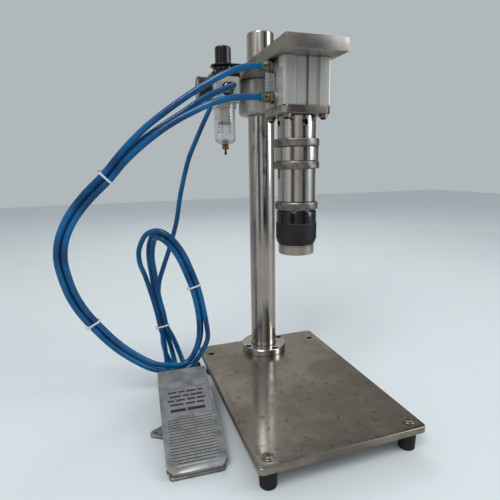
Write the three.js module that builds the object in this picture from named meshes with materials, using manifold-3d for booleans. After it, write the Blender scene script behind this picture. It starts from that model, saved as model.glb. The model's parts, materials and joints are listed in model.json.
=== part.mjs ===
// Pneumatic capping machine: a bench press that crimps the collar of a spray pump onto a bottle.
// A column on a base plate carries an arm with a compact air cylinder and the crimping head. A filter
// regulator sits beside the column, and hoses lead to a foot pedal valve on the floor.
// Millimetres, +Z up, front towards -Y. The column's axis stands at x = 0, y = 0, on the floor z = 0,
// until the last lines move the group so that its origin is the bottom centre of the whole machine.
import * as THREE from "three";
import { mergeVertices } from "three/addons/utils/BufferGeometryUtils.js";
import Module from "manifold-3d";

const wasm = await Module();
wasm.setup();

// ---- driving dimensions ----
const GAP = 0.3;
const FINE = 24;
const COARSE = 14;
const SMALL = 10;

const base = { width: 220, front: -280, back: 40, thick: 9, corner: 6, edge: 1 };
const foot = { height: 26, top: 11, bottom: 10, sideInset: 16, frontInset: 16, backInset: 32 };
const BASE_BOTTOM = foot.height;
const BASE_TOP = BASE_BOTTOM + base.thick;

const column = { radius: 21, top: 550, rounding: 2.5 };
const flange = { radius: 38, height: 11, boltCircle: 32.5, boltAngle: 15, bolts: 4 };

const arm = { halfWidth: 40, front: -190, shoulder: -57, bottom: 480, thick: 16, hub: 37, edge: 0.8 };
const collar = { radius: 35.5, bottom: 430, rounding: 4, slit: 3 };

const HEAD_Y = -133;
const cylinder = { side: 64, bottom: 424, bore: 25, boreTop: 474, boltSpacing: 50, portRadius: 5.2 };
const ports = { upper: 472, lower: 435.8 };
const headFlange = { side: 66, chamfer: 6, thick: 9.7 };
const bolt = { radius: 3, hole: 3.4, head: 5, headHeight: 6, reach: 492 };

const barrel = { radius: 25, inner: 22.4, upperInner: 20, joint: 366, bottom: 304.8 };
const radialHole = { radius: 4, z: 404.6 };
const guideSlot = { width: 6, bottom: 333, top: 361 };
const rings = {
  upper: { radius: 29.5, bottom: 375.5, top: 385.5 },
  adjuster: { radius: 28.8, bottom: 357.4, top: 375.2 },
  lower: { radius: 29.8, bottom: 347.4, top: 357.1 },
  head: { radius: 28.5, bottom: 294.5, top: 304.5 },
};
const ram = { radius: 22, bottom: 262, top: 357, bore: 14.2, boreTop: 330 };
const rod = { radius: 10, pistonBottom: 452, pistonTop: 470 };
const sleeve = { band: 26.7, grip: 27.4, tip: 24 };
const sleeveLevels = { bottom: 247.4, taperTop: 254.6, bandBottom: 277, top: 293 };
const nozzle = { radius: 24, bottom: 234.3, mouth: 17, throat: 12.6 };
const collet = { radius: 13.6, bore: 10, bottom: 248, top: 300, petals: 6, slot: 1.6, slotTop: 285 };
const colletSpring = { radius: 10.5, wire: 1.1, turns: 5 };

const unit = { x: -63, y: -11, body: 40, bodyBottom: 444.8, bodyTop: 480.5 };
const bonnet = { flange: 20.5, flangeTop: 487, neck: 15.5, top: 496 };
const bracket = { bottom: 496.3, thick: 2.5 };
const knob = { radius: 12.1, bottom: 499.2, top: 524.4 };
const bowl = { radius: 16, wall: 2, top: 444.5, bottom: 385.3 };
const gauge = { radius: 18, depth: 20, z: 464 };
const UNIT_PORT_Z = 463;

const hose = { radius: 4, sides: 8, step: 17 };
const fitting = { hex: 7.6, hexLength: 8.6, barrel: 6.4, mouth: 18.4, thread: 4.6, threadLength: 5.5 };
const socket = { radius: 4.7, depth: 9, inlet: 3 };

const pedal = { x: -165.5, y: -226, turn: -0.056 };
const pedalBase = { halfWidth: 33.5, length: 166, thick: 4 };
const treadle = { halfWidth: 36, length: 167, wall: 4, roof: 3.2, frontTop: 14.3, rearTop: 51 };
const skirt = { front: 6.5, rear: 19 };
const grooves = { count: 17, first: 4.5, pitch: 4.25, width: 1.8, depth: 1.1, halfLength: 29 };
const panel = { front: 78, back: 130, depth: 0.8, halfWidth: 32.5 };
const hinge = { y: 14, z: 8.5, pin: 2.4, lug: 4 };
const valve = { halfWidth: 28, front: 128, back: 160, top: 24, portSpacing: 16, portZ: 14 };
const plunger = { y: 144, radius: 5.5, low: 16 };

// ---- finishes ----
const finish = (color, roughness, metalness) =>
  new THREE.MeshStandardMaterial({ color, roughness, metalness });
const brushedSteel = finish(0x8f8a83, 0.38, 0.95);
const polishedSteel = finish(0xb8b6b2, 0.12, 1);
const blackSteel = finish(0x1b1b1d, 0.45, 0.7);
const anodised = finish(0xb4b2ae, 0.42, 0.85);
const castAluminium = finish(0x9aa0a4, 0.55, 0.8);
const nickel = finish(0xb59a72, 0.25, 1);
const rubber = finish(0x17181a, 0.85, 0);
const blackPlastic = finish(0x15161a, 0.4, 0);
const greyPlastic = finish(0xb9bcbe, 0.5, 0);
const clearPlastic = finish(0xe8edf0, 0.08, 0);
const filterMedia = finish(0xc9bd9c, 0.9, 0);
const blueHose = finish(0x0d4fa0, 0.25, 0);
const springSteel = finish(0x9c9da0, 0.3, 1);

// ---- solids ----
function toSolid(geometry) {
  const bare = geometry.clone();
  bare.deleteAttribute("normal");
  bare.deleteAttribute("uv");
  const merged = mergeVertices(bare, 1e-4);
  const solid = new wasm.Manifold(
    new wasm.Mesh({
      numProp: 3,
      vertProperties: merged.attributes.position.array,
      triVerts: new Uint32Array(merged.index.array),
    }),
  );
  return solid;
}

function fromSolid(solid) {
  const { vertProperties, triVerts } = solid.getMesh();
  const geometry = new THREE.BufferGeometry();
  geometry.setAttribute("position", new THREE.BufferAttribute(vertProperties, 3));
  geometry.setIndex(new THREE.BufferAttribute(triVerts, 1));
  geometry.computeVertexNormals();
  return geometry;
}

function cut(body, ...tools) {
  return fromSolid(tools.reduce((solid, tool) => solid.subtract(toSolid(tool)), toSolid(body)));
}

function join(body, ...others) {
  return fromSolid(others.reduce((solid, other) => solid.add(toSolid(other)), toSolid(body)));
}

// A solid of revolution about +Z from [radius, z] pairs that run upwards on the outside.
function turned(profile, segments = FINE) {
  const onAxis = profile[0][0] === 0;
  const closed = onAxis ? profile : [...profile, profile[0]];
  const points = closed.map(([radius, z]) => new THREE.Vector2(radius, z));
  return new THREE.LatheGeometry(points, segments).rotateX(Math.PI / 2);
}

function bar(radius, bottom, top, segments = FINE) {
  return turned([[0, bottom], [radius, bottom], [radius, top], [0, top]], segments);
}

function ring(inner, outer, bottom, top, segments = FINE, edge = 0) {
  const profile = [
    [inner, bottom],
    [outer - edge, bottom],
    [outer, bottom + edge],
    [outer, top - edge],
    [outer - edge, top],
    [inner, top],
  ];
  return turned(edge ? profile : profile.filter((_, i) => i !== 1 && i !== 4), segments);
}

// A cutter for a hole that widens at a step.
function steppedHole(narrow, wide, step, bottom, top) {
  const profile = [[0, bottom], [narrow, bottom], [narrow, step], [wide, step], [wide, top], [0, top]];
  return turned(profile, SMALL);
}

// A prism of a Shape between two heights, with its edges bevelled.
function prism(shape, bottom, top, bevel = 0, curveSegments = 6) {
  const geometry = new THREE.ExtrudeGeometry(shape, {
    depth: top - bottom - 2 * bevel,
    bevelEnabled: bevel > 0,
    bevelThickness: bevel,
    bevelSize: bevel,
    bevelOffset: -bevel,
    bevelSegments: 1,
    curveSegments,
  });
  return geometry.translate(0, 0, bottom + bevel);
}

function box(x0, x1, y0, y1, z0, z1) {
  const geometry = new THREE.BoxGeometry(x1 - x0, y1 - y0, z1 - z0);
  return geometry.translate((x0 + x1) / 2, (y0 + y1) / 2, (z0 + z1) / 2);
}

function polygon(points) {
  return new THREE.Shape(points.map(([x, y]) => new THREE.Vector2(x, y)));
}

function roundedRectangle(x0, x1, y0, y1, radius) {
  const shape = new THREE.Shape();
  shape.absarc(x1 - radius, y0 + radius, radius, -Math.PI / 2, 0);
  shape.absarc(x1 - radius, y1 - radius, radius, 0, Math.PI / 2);
  shape.absarc(x0 + radius, y1 - radius, radius, Math.PI / 2, Math.PI);
  shape.absarc(x0 + radius, y0 + radius, radius, Math.PI, Math.PI * 1.5);
  return shape;
}

function hexagon(radius) {
  const corners = Array.from({ length: 6 }, (_, i) => (i * Math.PI) / 3);
  return polygon(corners.map((a) => [radius * Math.cos(a), radius * Math.sin(a)]));
}

// A solid made along +Z, laid so that its +Z points along a direction, from a starting point.
function laid(geometry, start, direction) {
  const turn = new THREE.Quaternion().setFromUnitVectors(
    new THREE.Vector3(0, 0, 1),
    new THREE.Vector3(...direction).normalize(),
  );
  return geometry.applyQuaternion(turn).translate(...start);
}

function alongCurve(curve, steps, radius, sides) {
  const corners = Array.from({ length: sides }, (_, i) => (i * 2 * Math.PI) / sides);
  const section = polygon(corners.map((a) => [radius * Math.cos(a), radius * Math.sin(a)]));
  return new THREE.ExtrudeGeometry(section, { steps, extrudePath: curve, bevelEnabled: false });
}

function coilSpring(radius, wire, bottom, top, turns) {
  const perTurn = 8;
  const low = bottom + wire;
  const rise = top - bottom - 2 * wire;
  const points = Array.from({ length: turns * perTurn + 1 }, (_, i) => {
    const angle = (i * 2 * Math.PI) / perTurn;
    const z = low + (rise * i) / (turns * perTurn);
    return new THREE.Vector3(radius * Math.cos(angle), radius * Math.sin(angle), z);
  });
  return alongCurve(new THREE.CatmullRomCurve3(points), turns * perTurn, wire, 4);
}

// ---- the scene graph ----
const machine = new THREE.Group();
const head = new THREE.Group();
head.position.set(0, HEAD_Y, 0);
const regulator = new THREE.Group();
regulator.position.set(unit.x, unit.y, 0);
const footPedal = new THREE.Group();
footPedal.position.set(pedal.x, pedal.y, 0);
footPedal.rotation.z = pedal.turn;
machine.add(head, regulator, footPedal);

function place(name, geometry, material, group = machine) {
  const mesh = new THREE.Mesh(geometry, material);
  mesh.name = name;
  group.add(mesh);
  return mesh;
}

// ---- base: plate, four rubber feet and their screws ----
const footX = base.width / 2 - foot.sideInset;
const footPlaces = {
  front_left: [-footX, base.front + foot.frontInset],
  front_right: [footX, base.front + foot.frontInset],
  back_left: [-footX, base.back - foot.backInset],
  back_right: [footX, base.back - foot.backInset],
};
const screw = { shank: 3, hole: 3.4, head: 5.6, headHeight: 3.4, washer: 7, washerThick: 1.2, bottom: 9 };
const sunk = { bore: 5.2, depth: 6, head: 4.7, headHeight: 4.6 };

function basePlate() {
  const outline = roundedRectangle(-base.width / 2, base.width / 2, base.front, base.back, base.corner);
  const plate = prism(outline, BASE_BOTTOM, BASE_TOP, base.edge, 3);
  const holes = Object.entries(footPlaces).map(([corner, [x, y]]) => {
    const wide = corner.startsWith("back") ? sunk.bore : screw.hole;
    const hole = steppedHole(screw.hole, wide, BASE_TOP - sunk.depth, BASE_BOTTOM - 1, BASE_TOP + 1);
    return hole.translate(x, y, 0);
  });
  return cut(plate, ...holes);
}

function rubberFoot() {
  const top = foot.height - GAP;
  const profile = [
    [screw.hole, 7],
    [7, 7],
    [7, 0],
    [foot.bottom - 1, 0],
    [foot.bottom, 1.5],
    [foot.top, top - 2],
    [foot.top - 0.8, top],
    [screw.hole, top],
  ];
  return turned(profile, 16);
}

// A cap screw sunk in its counterbore, for the two feet behind the column.
function sunkScrew() {
  const seat = BASE_TOP - sunk.depth + GAP;
  const capTop = seat + sunk.headHeight;
  const profile = [
    [0, screw.bottom],
    [screw.shank, screw.bottom],
    [screw.shank, seat],
    [sunk.head, seat],
    [sunk.head, capTop],
    [0, capTop],
  ];
  return cut(turned(profile, 12), prism(hexagon(2.6), capTop - 2.4, capTop + 1));
}

// A button-head screw on its washer, for the two feet at the front.
function footScrew() {
  const seat = BASE_TOP + GAP;
  const capTop = seat + screw.washerThick + screw.headHeight;
  const profile = [
    [0, screw.bottom],
    [screw.shank, screw.bottom],
    [screw.shank, seat],
    [screw.washer, seat],
    [screw.washer, seat + screw.washerThick],
    [screw.head, seat + screw.washerThick],
    [screw.head, capTop - 1],
    [screw.head - 1, capTop],
    [0, capTop],
  ];
  return cut(turned(profile, 12), prism(hexagon(2.4), capTop - 2.4, capTop + 1));
}

place("base_plate", basePlate(), brushedSteel);
for (const [corner, [x, y]] of Object.entries(footPlaces)) {
  place("foot_" + corner, rubberFoot(), rubber).position.set(x, y, 0);
  const fastener = corner.startsWith("back") ? sunkScrew() : footScrew();
  place("foot_screw_" + corner, fastener, brushedSteel).position.set(x, y, 0);
}

// ---- column and its flange ----
function columnFlange() {
  const top = BASE_TOP + flange.height;
  const disc = ring(column.radius + GAP, flange.radius, BASE_TOP + GAP, top, FINE, 1);
  const holes = Array.from({ length: flange.bolts }, (_, i) => {
    const angle = THREE.MathUtils.degToRad(flange.boltAngle) + (i * 2 * Math.PI) / flange.bolts;
    const hole = steppedHole(bolt.hole, 5.2, top - 6, BASE_TOP - 1, top + 1);
    return hole.translate(flange.boltCircle * Math.cos(angle), flange.boltCircle * Math.sin(angle), 0);
  });
  return cut(disc, ...holes);
}

function columnBar() {
  const { radius, top, rounding } = column;
  const profile = [
    [0, BASE_TOP + GAP],
    [radius, BASE_TOP + GAP],
    [radius, top - rounding],
    [radius - rounding * 0.3, top - rounding * 0.3],
    [radius - rounding, top],
    [0, top],
  ];
  return turned(profile, FINE);
}

place("column", columnBar(), polishedSteel);
place("column_flange", columnFlange(), brushedSteel);

// ---- arm plate and clamp collar ----
const boltPlaces = [-1, 1].flatMap((i) =>
  [-1, 1].map((j) => [(i * cylinder.boltSpacing) / 2, (j * cylinder.boltSpacing) / 2]),
);

function armPlate() {
  const outline = new THREE.Shape();
  const reach = Math.hypot(arm.halfWidth, arm.shoulder);
  const touch = Math.atan2(arm.shoulder, arm.halfWidth) + Math.acos(arm.hub / reach);
  outline.moveTo(-arm.halfWidth, arm.front);
  outline.lineTo(arm.halfWidth, arm.front);
  outline.lineTo(arm.halfWidth, arm.shoulder);
  outline.absarc(0, 0, arm.hub, touch, Math.PI - touch);
  outline.lineTo(-arm.halfWidth, arm.shoulder);
  const top = arm.bottom + arm.thick;
  const plate = prism(outline, arm.bottom, top, arm.edge, 12);
  const bore = bar(column.radius + GAP, arm.bottom - 1, top + 1);
  const threads = boltPlaces.map(([x, y]) =>
    bar(bolt.hole, arm.bottom - 1, top + 1, SMALL).translate(x, HEAD_Y + y, 0),
  );
  return cut(plate, bore, ...threads);
}

function clampCollar() {
  const { radius, bottom, rounding, slit } = collar;
  const inner = column.radius + GAP;
  const top = arm.bottom - GAP;
  const sleeveBody = turned([
    [inner, bottom],
    [radius - rounding, bottom],
    [radius - rounding * 0.3, bottom + rounding * 0.3],
    [radius, bottom + rounding],
    [radius, top],
    [inner, top],
  ]);
  return cut(sleeveBody, box(-slit / 2, slit / 2, inner - 3, radius + 3, bottom - 1, top + 1));
}

place("arm_plate", armPlate(), brushedSteel);
place("clamp_collar", clampCollar(), anodised);

// ---- compact cylinder: body, rod guide, piston, rod, bolts and fittings ----
// One quarter of the extruded section, from a corner to the next: a stepped face with a T slot.
function cylinderSection() {
  const half = cylinder.side / 2;
  const chamfer = 2.5;
  const step = { at: 17, depth: 1.2 };
  const slot = { mouth: 2.2, inside: 4, lip: 1.6, depth: 5.5 };
  const face = half - step.depth;
  const side = [
    [-half + chamfer, -half],
    [-step.at, -half],
    [-step.at, -face],
    [-slot.mouth, -face],
    [-slot.mouth, -face + slot.lip],
    [-slot.inside, -face + slot.lip],
    [-slot.inside, -face + slot.depth],
  ];
  const mirrored = side.map(([x, y]) => [-x, y]).reverse();
  const quarter = [...side, ...mirrored];
  const turns = [0, 1, 2, 3].map((i) => (i * Math.PI) / 2);
  return polygon(
    turns.flatMap((a) =>
      quarter.map(([x, y]) => [x * Math.cos(a) - y * Math.sin(a), x * Math.sin(a) + y * Math.cos(a)]),
    ),
  );
}

function cylinderBody() {
  const top = arm.bottom - GAP;
  const bore = bar(cylinder.bore, cylinder.bottom - 1, cylinder.boreTop);
  const bolts = boltPlaces.map(([x, y]) =>
    bar(bolt.hole, cylinder.bottom - 1, top + 1, SMALL).translate(x, y, 0),
  );
  const portHoles = Object.values(ports).map((z) =>
    laid(bar(cylinder.portRadius, 0, 12, COARSE), [-cylinder.side / 2 - 3, 0, z], [1, 0, 0]),
  );
  return cut(prism(cylinderSection(), cylinder.bottom, top), bore, ...bolts, ...portHoles);
}

function clampBolt() {
  const seat = cylinder.bottom - GAP - headFlange.thick - GAP;
  const end = seat - bolt.headHeight;
  const stem = [
    [0, end],
    [bolt.head - 0.8, end],
    [bolt.head, end + 0.8],
    [bolt.head, seat],
    [bolt.radius, seat],
    [bolt.radius, bolt.reach],
    [0, bolt.reach],
  ];
  return cut(turned(stem, SMALL), prism(hexagon(2.6), end - 1, end + 3));
}

// A push-in fitting along +Z from the face it screws into: thread below zero, hexagon, barrel, mouth.
function pushFitting() {
  const { hex, hexLength, barrel: outer, mouth, thread, threadLength } = fitting;
  const nut = prism(hexagon(hex), GAP, hexLength);
  const profile = [
    [0, -threadLength],
    [thread, -threadLength],
    [thread, 1],
    [outer, 1],
    [outer, mouth - 0.6],
    [outer - 0.6, mouth],
    [0, mouth],
  ];
  const neck = turned(profile, 12);
  const passage = bar(socket.inlet, -threadLength - 1, mouth - socket.depth + 1, 8);
  const seat = bar(socket.radius, mouth - socket.depth, mouth + 1, SMALL);
  return cut(join(nut, neck), passage, seat);
}

place("cylinder_body", cylinderBody(), anodised, head);
const rodGuide = ring(rod.radius + GAP, cylinder.bore - GAP, cylinder.bottom + GAP, 433.5);
place("rod_guide", rodGuide, anodised, head);
place("piston", ring(rod.radius - 4, cylinder.bore - GAP, rod.pistonBottom, rod.pistonTop), anodised, head);

function pistonRod() {
  const neck = rod.radius - 4 - GAP;
  const shoulder = rod.pistonBottom - GAP;
  const profile = [
    [0, ram.top + GAP - 12],
    [7, ram.top + GAP - 12],
    [7, ram.top + GAP],
    [rod.radius, ram.top + GAP],
    [rod.radius, shoulder],
    [neck, shoulder],
    [neck, rod.pistonTop],
    [0, rod.pistonTop],
  ];
  return turned(profile, 18);
}

place("piston_rod", pistonRod(), polishedSteel, head);

function headFlangePlate() {
  const half = headFlange.side / 2;
  const inset = half - headFlange.chamfer;
  const outline = polygon([
    [-inset, -half], [inset, -half], [half, -inset], [half, inset],
    [inset, half], [-inset, half], [-half, inset], [-half, -inset],
  ]);
  const top = cylinder.bottom - GAP;
  const bottom = top - headFlange.thick;
  const clearance = bar(rod.radius + GAP, bottom - 1, top + 1, 24);
  const holes = boltPlaces.map(([x, y]) => bar(bolt.hole, bottom - 1, top + 1, SMALL).translate(x, y, 0));
  return cut(prism(outline, bottom, top, 0.6), clearance, ...holes);
}

place("head_flange", headFlangePlate(), brushedSteel, head);
boltPlaces.forEach(([x, y], i) => {
  place("clamp_bolt_" + (i + 1), clampBolt(), blackSteel, head).position.set(x, y, 0);
});
const cylinderFace = -cylinder.side / 2 + 1.2;
for (const [name, z] of Object.entries(ports)) {
  place("fitting_cylinder_" + name, laid(pushFitting(), [cylinderFace, 0, z], [-1, 0, 0]), nickel, head);
}

// ---- crimping head: barrels, rings, ram, press sleeve, nozzle and collet ----
function upperBarrel() {
  const top = cylinder.bottom - headFlange.thick - 2 * GAP - GAP;
  const tube = ring(barrel.upperInner, barrel.radius, barrel.joint + GAP, top);
  const holes = [0, 90].map((degrees) => {
    const angle = THREE.MathUtils.degToRad(degrees);
    const along = [Math.cos(angle), Math.sin(angle), 0];
    const start = along.map((v) => -v * 40);
    return laid(bar(radialHole.radius, 0, 80, 12), [start[0], start[1], radialHole.z], along);
  });
  return cut(tube, ...holes);
}

function lowerBarrel() {
  const tube = ring(barrel.inner, barrel.radius, barrel.bottom, barrel.joint);
  const { width, bottom, top } = guideSlot;
  return cut(tube, box(-barrel.radius - 2, -barrel.inner + 3, -width / 2, width / 2, bottom, top));
}

function ramTube() {
  const { radius, bottom, top, bore, boreTop } = ram;
  const body = bar(radius, bottom, top);
  const key = laid(bar(guideSlot.width / 2 - GAP, 0, barrel.radius - 10, 12), [-9, 0, top - 5], [-1, 0, 0]);
  const rodSeat = bar(7 + GAP, top - 13, top + 1, COARSE);
  return cut(join(body, key), bar(bore, bottom - 1, boreTop, 24), rodSeat);
}

function pressSleeve() {
  const inner = ram.radius + GAP;
  const { band, grip, tip } = sleeve;
  const { bottom, taperTop, bandBottom, top } = sleeveLevels;
  return turned([
    [inner, ram.bottom - 1],
    [ram.bore, ram.bottom - 1],
    [ram.bore, bottom],
    [tip, bottom],
    [grip - 0.4, taperTop],
    [grip, taperTop + 1],
    [grip, bandBottom],
    [band, bandBottom],
    [band, top - 0.8],
    [band - 0.8, top],
    [inner, top],
  ]);
}

function crimpNozzle() {
  const { radius, bottom, mouth, throat } = nozzle;
  const top = sleeveLevels.bottom - GAP;
  return turned([
    [throat, bottom + 8],
    [mouth, bottom + 0.8],
    [mouth + 0.8, bottom],
    [radius - 1, bottom],
    [radius, bottom + 1],
    [radius, top],
    [throat, top],
  ]);
}

function crimpCollet() {
  const { radius, bore, bottom, top, petals, slot, slotTop } = collet;
  const tube = turned([
    [bore, bottom],
    [radius - 2.5, bottom],
    [radius, bottom + 5],
    [radius, top],
    [bore, top],
  ], 18);
  const slots = Array.from({ length: petals / 2 }, (_, i) => {
    const wall = box(-radius - 1, radius + 1, -slot / 2, slot / 2, bottom - 1, slotTop);
    return wall.rotateZ((i * 2 * Math.PI) / petals);
  });
  return cut(tube, ...slots);
}

place("upper_barrel", upperBarrel(), polishedSteel, head);
place("lower_barrel", lowerBarrel(), polishedSteel, head);
const RING_NAMES = {
  upper: "upper_lock_ring",
  adjuster: "stroke_adjuster",
  lower: "lower_lock_ring",
  head: "head_lock_ring",
};
for (const [key, { radius, bottom, top }] of Object.entries(rings)) {
  place(RING_NAMES[key], ring(barrel.radius + 0.5, radius, bottom, top), brushedSteel, head);
}
place("ram_tube", ramTube(), polishedSteel, head);
place("press_sleeve", pressSleeve(), blackSteel, head);
place("nozzle", crimpNozzle(), polishedSteel, head);
place("collet", crimpCollet(), springSteel, head);
const floatSpring = coilSpring(
  colletSpring.radius,
  colletSpring.wire,
  collet.top + GAP,
  ram.boreTop - GAP,
  colletSpring.turns,
);
place("collet_spring", floatSpring, springSteel, head);

// ---- filter regulator ----
function regulatorBody() {
  const half = unit.body / 2;
  const block = prism(roundedRectangle(-half, half, -half, half, 4), unit.bodyBottom, unit.bodyTop, 1.2, 3);
  const passage = bar(cylinder.portRadius, 0, unit.body + 4, 16);
  const through = laid(passage, [0, -half - 2, UNIT_PORT_Z], [0, 1, 0]);
  const gaugePort = laid(bar(3.5, 0, half, 12), [-half - 2, 0, gauge.z], [1, 0, 0]);
  const filterWell = bar(11, unit.bodyBottom - 1, unit.bodyBottom + 6, 24);
  return cut(block, through, gaugePort, filterWell);
}

function regulatorBonnet() {
  const { flange: wide, flangeTop, neck, top } = bonnet;
  const skirt = prism(roundedRectangle(-wide, wide, -wide, wide, 5), unit.bodyTop + GAP, flangeTop, 1, 3);
  const outline = [
    [0, flangeTop - 1],
    [wide - 2, flangeTop - 1],
    [neck, flangeTop + 4],
    [neck, top],
    [0, top],
  ];
  const cap = turned(outline, 18);
  const stem = bar(8, top - 1, knob.bottom + 12, COARSE);
  return join(skirt, cap, stem);
}

function regulatorKnob() {
  const { radius, bottom, top } = knob;
  const cap = turned([
    [8.6, bottom],
    [radius, bottom],
    [radius, top - 2],
    [radius - 2, top],
    [0, top],
    [0, bottom + 13],
    [8.6, bottom + 13],
  ], 18);
  return cap;
}

// The bowl with its drain boss, bored for the drain pin.
function filterBowl() {
  const { radius, wall, top, bottom } = bowl;
  const shell = turned([
    [1.9, bottom - 1],
    [radius - 7, bottom],
    [radius - 2, bottom + 3],
    [radius, bottom + 8],
    [radius, top],
    [radius - wall, top],
    [radius - wall, bottom + 9],
    [radius - wall - 2, bottom + 5],
    [radius - 8, bottom + 2.4],
    [1.9, bottom + 2.4],
  ], 18);
  const boss = prism(hexagon(6.5), bottom - 7.5, bottom + 1, 0.5);
  return cut(join(shell, boss), bar(1.9, bottom - 9, bottom + 8, 12));
}

function filterElement() {
  const top = unit.bodyBottom + 5;
  const disc = 417;
  return turned([
    [2.5, disc - 3],
    [10.5, disc - 3],
    [10.5, disc],
    [8, disc],
    [8, top],
    [2.5, top],
  ], COARSE);
}

function drainPin() {
  const low = bowl.bottom - 15.5;
  const top = bowl.bottom + 8;
  return turned([[0, low], [1.9, low], [1.9, low + 4], [1.5, low + 4.6], [1.5, top], [0, top]], 12);
}

function gaugeCase() {
  const { radius, depth } = gauge;
  const cup = turned([
    [0, 0],
    [radius - 3, 0],
    [radius, 3],
    [radius, depth],
    [radius - 2, depth],
    [radius - 2, depth - 4],
    [0, depth - 4],
  ], 18);
  const stem = bar(3, -6, 1, 12);
  const arbor = bar(0.9, depth - 5, depth - 1.6, 8);
  return laid(join(cup, stem, arbor), [-unit.body / 2 - GAP, 0, gauge.z], [-1, 0, 0]);
}

function gaugeNeedle() {
  const hub = ring(1.3, 2.6, 0, 0.8, 12);
  const pointer = prism(polygon([[1.6, -0.7], [11.5, -0.25], [11.5, 0.25], [1.6, 0.7]]), 0.1, 0.7);
  const startAngle = THREE.MathUtils.degToRad(135);
  const depth = -unit.body / 2 - GAP - gauge.depth + 3.2;
  const upright = join(hub, pointer).rotateZ(startAngle);
  return laid(upright, [depth, 0, gauge.z], [-1, 0, 0]);
}

function bracketPlate() {
  const { bottom, thick } = bracket;
  const outline = new THREE.Shape();
  outline.absarc(0, 0, 19, Math.PI * 0.35, Math.PI * 1.65);
  outline.lineTo(42, -19);
  outline.lineTo(46, 2);
  outline.lineTo(40, 17);
  const neck = bar(9, bottom - 1, bottom + thick + 1, 24);
  const clearance = bar(column.radius + 2, bottom - 1, bottom + thick + 1);
  const columnRelief = clearance.translate(-unit.x, -unit.y, 0);
  return cut(prism(outline, bottom, bottom + thick, 0, 8), neck, columnRelief);
}

place("regulator_bracket", bracketPlate(), blackSteel, regulator);
place("regulator_body", regulatorBody(), greyPlastic, regulator);
place("regulator_bonnet", regulatorBonnet(), blackPlastic, regulator);
place("regulator_knob", regulatorKnob(), blackPlastic, regulator);
place("filter_bowl", filterBowl(), clearPlastic, regulator);
place("filter_element", filterElement(), filterMedia, regulator);
place("drain_pin", drainPin(), nickel, regulator);
place("gauge_case", gaugeCase(), blackPlastic, regulator);
place("gauge_needle", gaugeNeedle(), blackSteel, regulator);
const unitFace = unit.body / 2;
place("fitting_outlet", laid(pushFitting(), [0, -unitFace, UNIT_PORT_Z], [0, -1, 0]), nickel, regulator);
place("fitting_inlet", laid(pushFitting(), [0, unitFace, UNIT_PORT_Z], [0, 1, 0]), nickel, regulator);

// ---- foot pedal: base, treadle, hinge pin, valve, plunger, spring and fittings ----
function sidePrism(points, x0, x1) {
  const profile = prism(polygon(points), 0, x1 - x0);
  const basis = new THREE.Matrix4().makeBasis(
    new THREE.Vector3(0, 1, 0),
    new THREE.Vector3(0, 0, 1),
    new THREE.Vector3(1, 0, 0),
  );
  return profile.applyMatrix4(basis).translate(x0, 0, 0);
}

const treadleSlope = (treadle.rearTop - treadle.frontTop) / (treadle.length - 7);
const treadleTop = (y) => treadle.frontTop + (y - 7) * treadleSlope;

function pedalTreadle() {
  const { halfWidth, length, wall, roof, frontTop, rearTop } = treadle;
  const shell = sidePrism(
    [[-1, skirt.front], [length, skirt.rear], [length, rearTop], [7, frontTop], [-1, skirt.front + 3.5]],
    -halfWidth,
    halfWidth,
  );
  const inside = halfWidth - wall;
  const rear = length - wall;
  const hollow = sidePrism(
    [[3, 0], [rear, 0], [rear, treadleTop(rear) - roof], [8, treadleTop(8) - roof], [3, 9]],
    -inside,
    inside,
  );
  const rearWindow = box(-inside, inside, rear - 1, length + 1, 0, 38);
  const corners = [-1, 1].map((side) =>
    box(-9, 9, -9, 9, -5, 60).rotateZ(Math.PI / 4).translate(side * (halfWidth + 2.7), -3.6, 0),
  );
  const cuts = Array.from({ length: grooves.count }, (_, i) => {
    const y = grooves.first + i * grooves.pitch;
    const half = grooves.halfLength - (i < 2 ? 6 : 0);
    const low = treadleTop(Math.max(y, 6)) - grooves.depth;
    return box(-half, half, y - grooves.width / 2, y + grooves.width / 2, low, low + 6);
  });
  const { front, back, depth } = panel;
  const recess = sidePrism(
    [[front, treadleTop(front) - depth], [back, treadleTop(back) - depth], [back, 60], [front, 60]],
    -panel.halfWidth,
    panel.halfWidth,
  );
  const pinHole = laid(bar(hinge.pin + GAP, 0, 80, 16), [-40, hinge.y, hinge.z], [1, 0, 0]);
  return cut(shell, hollow, rearWindow, ...corners, ...cuts, recess, pinHole);
}

function pedalBaseCasting() {
  const { halfWidth, length, thick } = pedalBase;
  const plate = prism(roundedRectangle(-halfWidth, halfWidth, 0, length, 5), 0, thick, 0.5, 3);
  const ear = new THREE.Shape();
  ear.moveTo(-halfWidth + 2, 76);
  ear.lineTo(-halfWidth + 2, 106);
  ear.absarc(-halfWidth - 11, 91, 7, Math.PI * 0.6, Math.PI * 1.4);
  const earHole = bar(2.6, -1, thick + 2, 16).translate(-halfWidth - 11, 91, 0);
  const lugs = [-1, 1].map((side) => {
    const x = side * 27;
    const post = box(x - 3, x + 3, hinge.y - hinge.lug, hinge.y + hinge.lug, 1, hinge.z);
    const eye = laid(bar(hinge.lug, 0, 6, 16), [x - 3, hinge.y, hinge.z], [1, 0, 0]);
    return join(post, eye);
  });
  const pinBore = laid(bar(hinge.pin + GAP, 0, 80, 16), [-40, hinge.y, hinge.z], [1, 0, 0]);
  return cut(join(plate, prism(ear, 0, thick, 0.5, 6), ...lugs), earHole, pinBore);
}

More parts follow.
